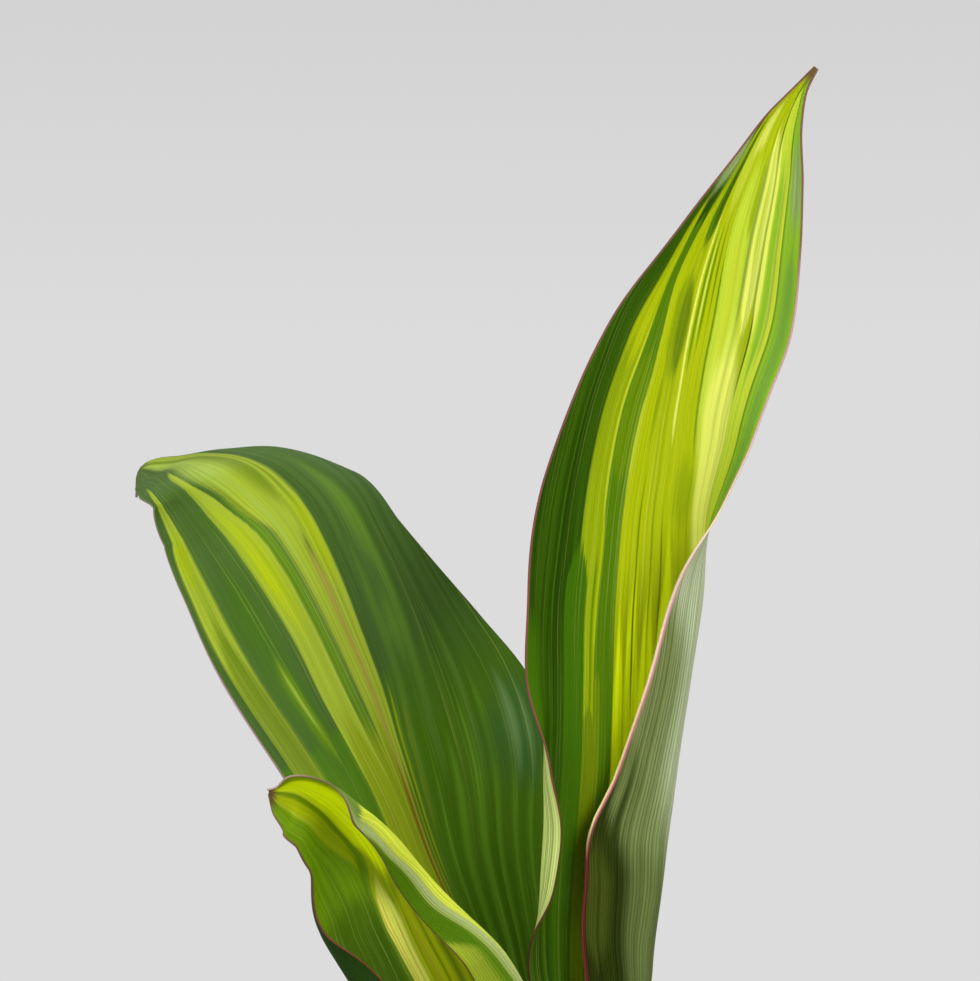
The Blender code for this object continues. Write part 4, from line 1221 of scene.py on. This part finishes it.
def make_blade(name, shape, veins, grid, looks, node):
    """One leaf: a grid laid on the leaf's surface, then thickened to its underside."""
    leaf = bpy.context.scene.cordyline_leaf
    stations, spans, wave = shape
    numbers, paths = veins
    across, along = grid
    even = np.linspace(0, 1, across + 1)
    shares = even * (1 + EDGE_CLOSER - EDGE_CLOSER * even**2)
    points, halves = leaf_points(stations, spans, wave, shares, along)
    heights = np.linspace(0, 1, along + 1)
    path = through(np.array([row[0] for row in paths]), np.array([row[1] for row in paths]), heights)
    places = np.concatenate([-shares[::-1], shares[1:]])
    bm = bmesh.new()
    bmesh.ops.create_grid(bm, x_segments=2 * across, y_segments=along, size=1.0)
    edge = bm.verts.layers.float.new("edge")
    aside = bm.verts.layers.float.new("across")
    thick = bm.verts.layers.deform.verify()
    vein_of = {}
    for vert in bm.verts:
        column = round((vert.co.x + 1) * across)
        row = round((vert.co.y + 1) / 2 * along)
        place = places[column]
        vert.co = points[row, column]
        vert[edge] = (1 - abs(place)) * halves[row, 0 if place < 0 else 1]
        vert[aside] = place
        vert[thick][0] = thickness_share(heights[row], place)
        vein_of[vert] = (np.interp(place, path[row], numbers), heights[row])
    map_veins(bm, vein_of)
    piece = add_piece(name, bm, looks, node)
    piece.vertex_groups.new(name="Thick")
    solid = piece.modifiers.new("Thickness", "SOLIDIFY")
    solid.thickness = leaf.stalk
    solid.offset = -1.0
    solid.vertex_group = "Thick"
    solid.thickness_vertex_group = leaf.blade / leaf.stalk
    solid.material_offset = 1
    solid.material_offset_rim = 2


def pot_side(pot, height):
    """Outer radius of the pot's wall at a height."""
    return pot.foot_radius + (pot.rim_radius - pot.rim_step - pot.foot_radius) / pot.height * height


def soil_level(pot, share):
    """Height of the soil at a share of the way from the cane to the pot."""
    return pot.soil_top + SOIL_CROWN * (1 - share**2)


def scatter_crumbs(bm, pot, hole, reach):
    """Sets crumbs and grit in the soil's top, half sunk."""
    chance = np.random.default_rng(CRUMB_SEED)
    for number in range(pot.crumbs):
        is_grit = number % GRIT_EVERY == 0
        size = chance.uniform(*(GRIT_SIZE if is_grit else CRUMB_SIZE))
        radius = math.sqrt(chance.uniform((hole + CRUMB_CLEAR) ** 2, (reach - CRUMB_CLEAR) ** 2))
        angle = chance.uniform(0, math.tau)
        level = soil_level(pot, (radius - hole) / (reach - hole)) - CRUMB_SINK
        made = bmesh.ops.create_icosphere(bm, subdivisions=1, radius=size)["verts"]
        stretch = Vector(chance.uniform(*CRUMB_STRETCH, 3))
        turn = chance.uniform(0, math.tau)
        for vert in made:
            x, y, z = (a * b for a, b in zip(vert.co * chance.uniform(*CRUMB_ROUGHNESS), stretch))
            vert.co = (
                radius * math.cos(angle) + x * math.cos(turn) - y * math.sin(turn),
                radius * math.sin(angle) + x * math.sin(turn) + y * math.cos(turn),
                level + CRUMB_FLATNESS * z,
            )
        for face in {face for vert in made for face in vert.link_faces}:
            face.material_index = 2 if is_grit else 1


def spear_taper(share):
    """Swells a little from the foot, then runs out to the tip."""
    if share < SPEAR_SWELL_END:
        return SPEAR_FOOT_SHARE + (1 - SPEAR_FOOT_SHARE) * share / SPEAR_SWELL_END
    run = (share - SPEAR_SWELL_END) / (1 - SPEAR_SWELL_END)
    return SPEAR_TIP_SHARE + (1 - SPEAR_TIP_SHARE) * (1 - run**SPEAR_TAPER)


# ------------------------------------------------------------------------------ operators


class CORDYLINE_OT_pot(bpy.types.Operator):
    """Make the glazed pot"""

    bl_idname = "cordyline.pot"
    bl_label = "Glazed Pot"

    def execute(self, context):
        pot = context.scene.cordyline_pot
        rim_foot = pot.height - pot.rim_height
        inner_top = pot_side(pot, pot.height) - pot.wall
        corner = pot.floor + INNER_CORNER
        shoulder = pot.height - RIM_EDGE
        profile = (
            (0.0, pot.floor),
            (pot_side(pot, pot.floor) - pot.wall - INNER_CORNER, pot.floor),
            (pot_side(pot, corner) - pot.wall, corner),
            (pot_side(pot, shoulder) - pot.wall, shoulder),
            (inner_top + RIM_EDGE, pot.height),
            (0.5 * (pot.rim_radius + inner_top), pot.height + RIM_CROWN),
            (pot.rim_radius - RIM_EDGE, pot.height),
            (pot.rim_radius, shoulder),
            (pot.rim_radius, rim_foot + RIM_EDGE),
            (pot_side(pot, rim_foot), rim_foot),
            (pot_side(pot, FOOT_ROUND), FOOT_ROUND),
            (pot.foot_radius - FOOT_ROUND_MIDDLE, FOOT_ROUND_MIDDLE),
            (pot.foot_radius - FOOT_ROUND, 0.0),
            (0.0, 0.0),
        )
        piece = add_piece("glazed_pot", spun(profile, POT_SIDES), [pot_glaze()], "pot")
        bevel = piece.modifiers.new("Soft Edges", "BEVEL")
        bevel.width = SOFT_EDGE
        bevel.segments = 3
        bevel.limit_method = "ANGLE"
        bevel.angle_limit = math.radians(15)
        return {"FINISHED"}


class CORDYLINE_OT_soil(bpy.types.Operator):
    """Make the soil, with its loose crumbs and grit"""

    bl_idname = "cordyline.soil"
    bl_label = "Soil"

    def execute(self, context):
        pot = context.scene.cordyline_pot
        hole = CANE_RADIUS + SOIL_GAP
        top = pot.soil_top
        foot = pot.floor + SOIL_GAP

        def inside(height):
            return pot_side(pot, height) - pot.wall - SOIL_GAP

        reach = inside(top)
        depth = top - pot.soil_hole
        profile = [(0.0, depth), (hole, depth), (hole, top + SOIL_CROWN - SOIL_LIP)]
        for k in range(SOIL_RINGS + 1):
            share = k / SOIL_RINGS
            radius = hole + HOLE_EDGE + (reach - WALL_EDGE - hole) * share
            profile.append((radius, soil_level(pot, share) - WALL_DIP * share))
        for height in (top - SOIL_SHOULDER, foot + INNER_CORNER):
            profile.append((inside(height), height))
        profile += [(inside(foot) - INNER_CORNER, foot), (0.0, foot)]
        bm = spun(profile, SOIL_SIDES)
        for vert in bm.verts:
            radius = math.hypot(vert.co.x, vert.co.y)
            if vert.co.z > top - SOIL_LIP and hole + LOOSE_FROM_HOLE < radius < reach - LOOSE_FROM_WALL:
                near = min(1.0, (radius - hole) / LUMPS_FROM_HOLE, (reach - radius) / LUMPS_FROM_WALL)
                lumps = sum(share * noise.noise(vert.co * scale) for scale, share in SOIL_LUMPS)
                vert.co.z += near * (SOIL_ROUGHNESS * lumps - SOIL_SINK)
        scatter_crumbs(bm, pot, hole, reach)
        add_piece("potting_soil", bm, soil_looks(), "soil")
        return {"FINISHED"}


class CORDYLINE_OT_cane(bpy.types.Operator):
    """Make the cane, ringed by the scars of old leaves"""

    bl_idname = "cordyline.cane"
    bl_label = "Ringed Cane"

    def execute(self, context):
        cane = context.scene.cordyline_cane
        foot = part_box("cane")[0].z
        dome = CANE_DOME * CANE_RADIUS
        shoulder = cane.top - dome
        profile = [(0.0, cane.top)]
        for step in range(1, CANE_DOME_STEPS):
            angle = step / CANE_DOME_STEPS * math.pi / 2
            profile.append((CANE_RADIUS * math.sin(angle), shoulder + dome * math.cos(angle)))
        for row in range(CANE_ROWS + 1):
            profile.append((CANE_RADIUS, shoulder + (foot - shoulder) * row / CANE_ROWS))
        profile.append((0.0, foot))
        bm = spun(profile, CANE_SIDES)
        scar = bm.verts.layers.float.new("scar")
        for vert in bm.verts:
            radius = math.hypot(vert.co.x, vert.co.y)
            if radius < 0.5 * CANE_RADIUS or vert.co.z > shoulder:
                continue
            angle = math.atan2(vert.co.y, vert.co.x)
            ring = math.floor(vert.co.z / cane.scar_spacing)
            tilt = SCAR_TILT * math.sin(angle + SCAR_TURN * ring)
            phase = (vert.co.z / cane.scar_spacing) % 1.0 - 0.5 + tilt
            groove = math.exp(-((phase / SCAR_WIDTH) ** 2))
            wear = 0.5 + 0.5 * noise.noise(vert.co * WEAR_SCALE)
            shrink = cane.scar_depth * (SCAR_SHARE * groove + WEAR_SHARE * wear)
            vert[scar] = groove * (0.7 + 0.5 * wear)
            vert.co.x *= 1 - shrink / radius
            vert.co.y *= 1 - shrink / radius
        add_piece("ringed_cane", bm, [bark_look()], "cane")
        return {"FINISHED"}


class CORDYLINE_OT_spear(bpy.types.Operator):
    """Make the rolled young leaf on the cane's top"""

    bl_idname = "cordyline.spear"
    bl_label = "Rolled Young Leaf"

    def execute(self, context):
        cane = context.scene.cordyline_cane
        size = cane.spear_radius
        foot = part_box("leaf_spear")[0].z
        bm = bmesh.new()
        bmesh.ops.create_cone(bm, cap_ends=True, segments=SPEAR_SIDES, radius1=size, radius2=size, depth=1.0)
        sides = [edge for edge in bm.edges if abs(edge.verts[0].co.z - edge.verts[1].co.z) > 0.5]
        bmesh.ops.subdivide_edges(bm, edges=sides, cuts=SPEAR_CUTS)
        bmesh.ops.poke(bm, faces=[face for face in bm.faces if len(face.verts) > 4])
        place = {}
        for vert in bm.verts:
            share = vert.co.z + 0.5
            angle = math.atan2(vert.co.y, vert.co.x)
            turn = angle - SPEAR_TWIST * share
            wrap = (turn / math.tau) % 1.0
            lip = SPEAR_LIP * min(wrap, SPEAR_LIP_FALL * (1 - wrap))
            radius = math.hypot(vert.co.x, vert.co.y)
            radius *= spear_taper(share) * (1 + SPEAR_RIDGE * math.cos(turn) - lip)
            place[vert] = (2.0 * wrap - 1.0, share)
            vert.co.x = radius * math.cos(angle) + SPEAR_LEAN[0] * share**2
            vert.co.y = radius * math.sin(angle) + SPEAR_LEAN[1] * share**2
            vert.co.z = foot + (cane.spear_top - foot) * share
        map_veins(bm, place)
        add_piece("rolled_young_leaf", bm, [spear_look()], "leaf_spear")
        return {"FINISHED"}


class CORDYLINE_OT_large_leaves(bpy.types.Operator):
    """Make the three large striped leaves"""

    bl_idname = "cordyline.large_leaves"
    bl_label = "Large Leaves"

    def execute(self, context):
        leaf = context.scene.cordyline_leaf
        grid = (leaf.large_across, leaf.large_along)
        cool = (tint(62, 92, 34), tint(74, 104, 42))
        front = (tint(92, 128, 2), tint(106, 142, 6))
        tall_paint = (deep_ground(), TALL_STRIPES, TALL_BACK, TALL_MARGINS, TALL_RIMS)
        left_paint = (cool, LEFT_STRIPES, LEFT_BACK, LEFT_MARGINS, LEFT_RIMS)
        front_paint = (front, FRONT_STRIPES, FRONT_BACK, FRONT_MARGINS, FRONT_RIMS, FRONT_VEINING)
        large = (
            ("tall", (TALL_LEAF, TALL_SPAN, TALL_WAVE), (TALL_VEINS, TALL_PATHS), tall_paint),
            ("left", (LEFT_LEAF, LEFT_SPAN, LEFT_WAVE), (LEFT_VEINS, LEFT_PATHS), left_paint),
            ("front", (FRONT_LEAF, FRONT_SPAN, FRONT_WAVE), (FRONT_VEINS, FRONT_PATHS), front_paint),
        )
        for name, shape, veins, paint in large:
            looks = leaf_looks(f"{name.capitalize()} leaf", *paint)
            make_blade(f"{name}_leaf_blade", shape, veins, grid, looks, f"leaf_{name}")
        return {"FINISHED"}


class CORDYLINE_OT_low_leaves(bpy.types.Operator):
    """Make the five older leaves that arch out below"""

    bl_idname = "cordyline.low_leaves"
    bl_label = "Lower Leaves"

    def execute(self, context):
        leaf = context.scene.cordyline_leaf
        grid = (leaf.low_across, leaf.low_along)
        veins = (LOW_VEINS, LOW_PATHS)
        looks = leaf_looks("Lower leaf", deep_ground(), LOW_STRIPES, LOW_BACK, LOW_MARGINS, LOW_RIMS)
        for number, low in enumerate(LOW_LEAVES, 1):
            shape = (low_stations(*low), LOW_SPAN, LOW_WAVE)
            node = f"leaf_low_{number}"
            make_blade(f"low_leaf_blade_{number}", shape, veins, grid, looks, node)
        return {"FINISHED"}


class CORDYLINE_OT_studio(bpy.types.Operator):
    """Make the floor, the backdrop's light, the lamps and the camera"""

    bl_idname = "cordyline.studio"
    bl_label = "Studio"

    def execute(self, context):
        studio = context.scene.cordyline_studio
        self.floor(context, studio)
        self.sky(context, studio)
        for name, place, size, setting, share in LAMPS:
            self.lamp(context, name, Vector(place), size, share * getattr(studio, setting))
        self.camera(context, studio)
        return {"FINISHED"}

    @staticmethod
    def floor(context, studio):
        bm = bmesh.new()
        bmesh.ops.create_circle(bm, cap_ends=True, segments=128, radius=studio.floor_radius)
        mesh = to_mesh(bm, "floor")
        finish = Finish("Pale floor")
        clouds = finish.noise(finish.place(), 3.0, 3.0)
        colour = finish.over(tint(202, 202, 202), tint(208, 208, 208), clouds, 0.3, 0.7)
        mesh.materials.append(finish.close(colour, 0.8, Specular_IOR_Level=0.2))
        floor = bpy.data.objects.new("floor", mesh)
        context.scene.collection.objects.link(floor)

    @staticmethod
    def sky(context, studio):
        """An even backdrop, a little darker towards the top, that lights the plant less than it shows."""
        context.scene.world = bpy.data.worlds.new("Backdrop")
        air = Finish(context.scene.world)
        up = air.part(air.node("ShaderNodeTexCoord", output="Generated"), "Z")
        stops = ((SKY_FADE[0], studio.backdrop), (SKY_FADE[1], tint(209, 209, 209)))
        colour = air.node("ShaderNodeValToRGB", {"stops": stops}, {0: up})
        seen = air.node("ShaderNodeLightPath", output="Is Camera Ray")
        strength = air.node("ShaderNodeMapRange", None, {"Value": seen, "To Min": studio.room_light})
        back = air.node("ShaderNodeBackground", None, {"Color": colour, "Strength": strength})
        air.node("ShaderNodeOutputWorld", None, {"Surface": back})

    @staticmethod
    def lamp(context, name, place, size, power):
        light = bpy.data.lights.new(name, "AREA")
        light.shape = "DISK"
        light.size = size
        light.energy = power
        lamp = bpy.data.objects.new(name, light)
        lamp.location = place
        lamp.rotation_euler = (Vector(LAMP_AIM) - place).to_track_quat("-Z", "Y").to_euler()
        context.scene.collection.objects.link(lamp)

    @staticmethod
    def camera(context, studio):
        data = bpy.data.cameras.new("Camera")
        data.lens = studio.lens
        data.sensor_width = 36.0
        data.clip_start = 0.05
        data.clip_end = 50.0
        camera = bpy.data.objects.new("Camera", data)
        camera.location = (CAMERA_ASIDE, -studio.distance, CAMERA_HEIGHT)
        camera.rotation_euler = (math.radians(90), 0.0, 0.0)
        context.scene.collection.objects.link(camera)
        context.scene.camera = camera
        context.scene.view_settings.view_transform = "Standard"


class CORDYLINE_PT_parts(bpy.types.Panel):
    """Settings and steps of the potted cordyline."""

    bl_label = "Potted Cordyline"
    bl_space_type = "VIEW_3D"
    bl_region_type = "UI"
    bl_category = "Cordyline"

    def draw(self, context):
        for step in STEPS:
            self.layout.operator(step.bl_idname)
        for name, group in GROUPS:
            box = self.layout.box()
            box.label(text=group.__doc__)
            for setting in group.__annotations__:
                box.prop(getattr(context.scene, name), setting)


STEPS = (
    CORDYLINE_OT_studio,
    CORDYLINE_OT_pot,
    CORDYLINE_OT_soil,
    CORDYLINE_OT_cane,
    CORDYLINE_OT_spear,
    CORDYLINE_OT_large_leaves,
    CORDYLINE_OT_low_leaves,
)


def register():
    for name, group in GROUPS:
        bpy.utils.register_class(group)
        setattr(bpy.types.Scene, name, bpy.props.PointerProperty(type=group))
    for step in STEPS:
        bpy.utils.register_class(step)
    bpy.utils.register_class(CORDYLINE_PT_parts)


def unregister():
    bpy.utils.unregister_class(CORDYLINE_PT_parts)
    for step in reversed(STEPS):
        bpy.utils.unregister_class(step)
    for name, group in reversed(GROUPS):
        delattr(bpy.types.Scene, name)
        bpy.utils.unregister_class(group)


def clear_start():
    """Removes the cube, lamp and camera that Blender starts with."""
    for name in ("Cube", "Light", "Camera"):
        if name in bpy.data.objects:
            bpy.data.objects.remove(bpy.data.objects[name])


def main():
    clear_start()
    register()
    bpy.ops.cordyline.studio()
    bpy.ops.cordyline.pot()
    bpy.ops.cordyline.soil()
    bpy.ops.cordyline.cane()
    bpy.ops.cordyline.spear()
    bpy.ops.cordyline.large_leaves()
    bpy.ops.cordyline.low_leaves()


if __name__ == "__main__":
    main()
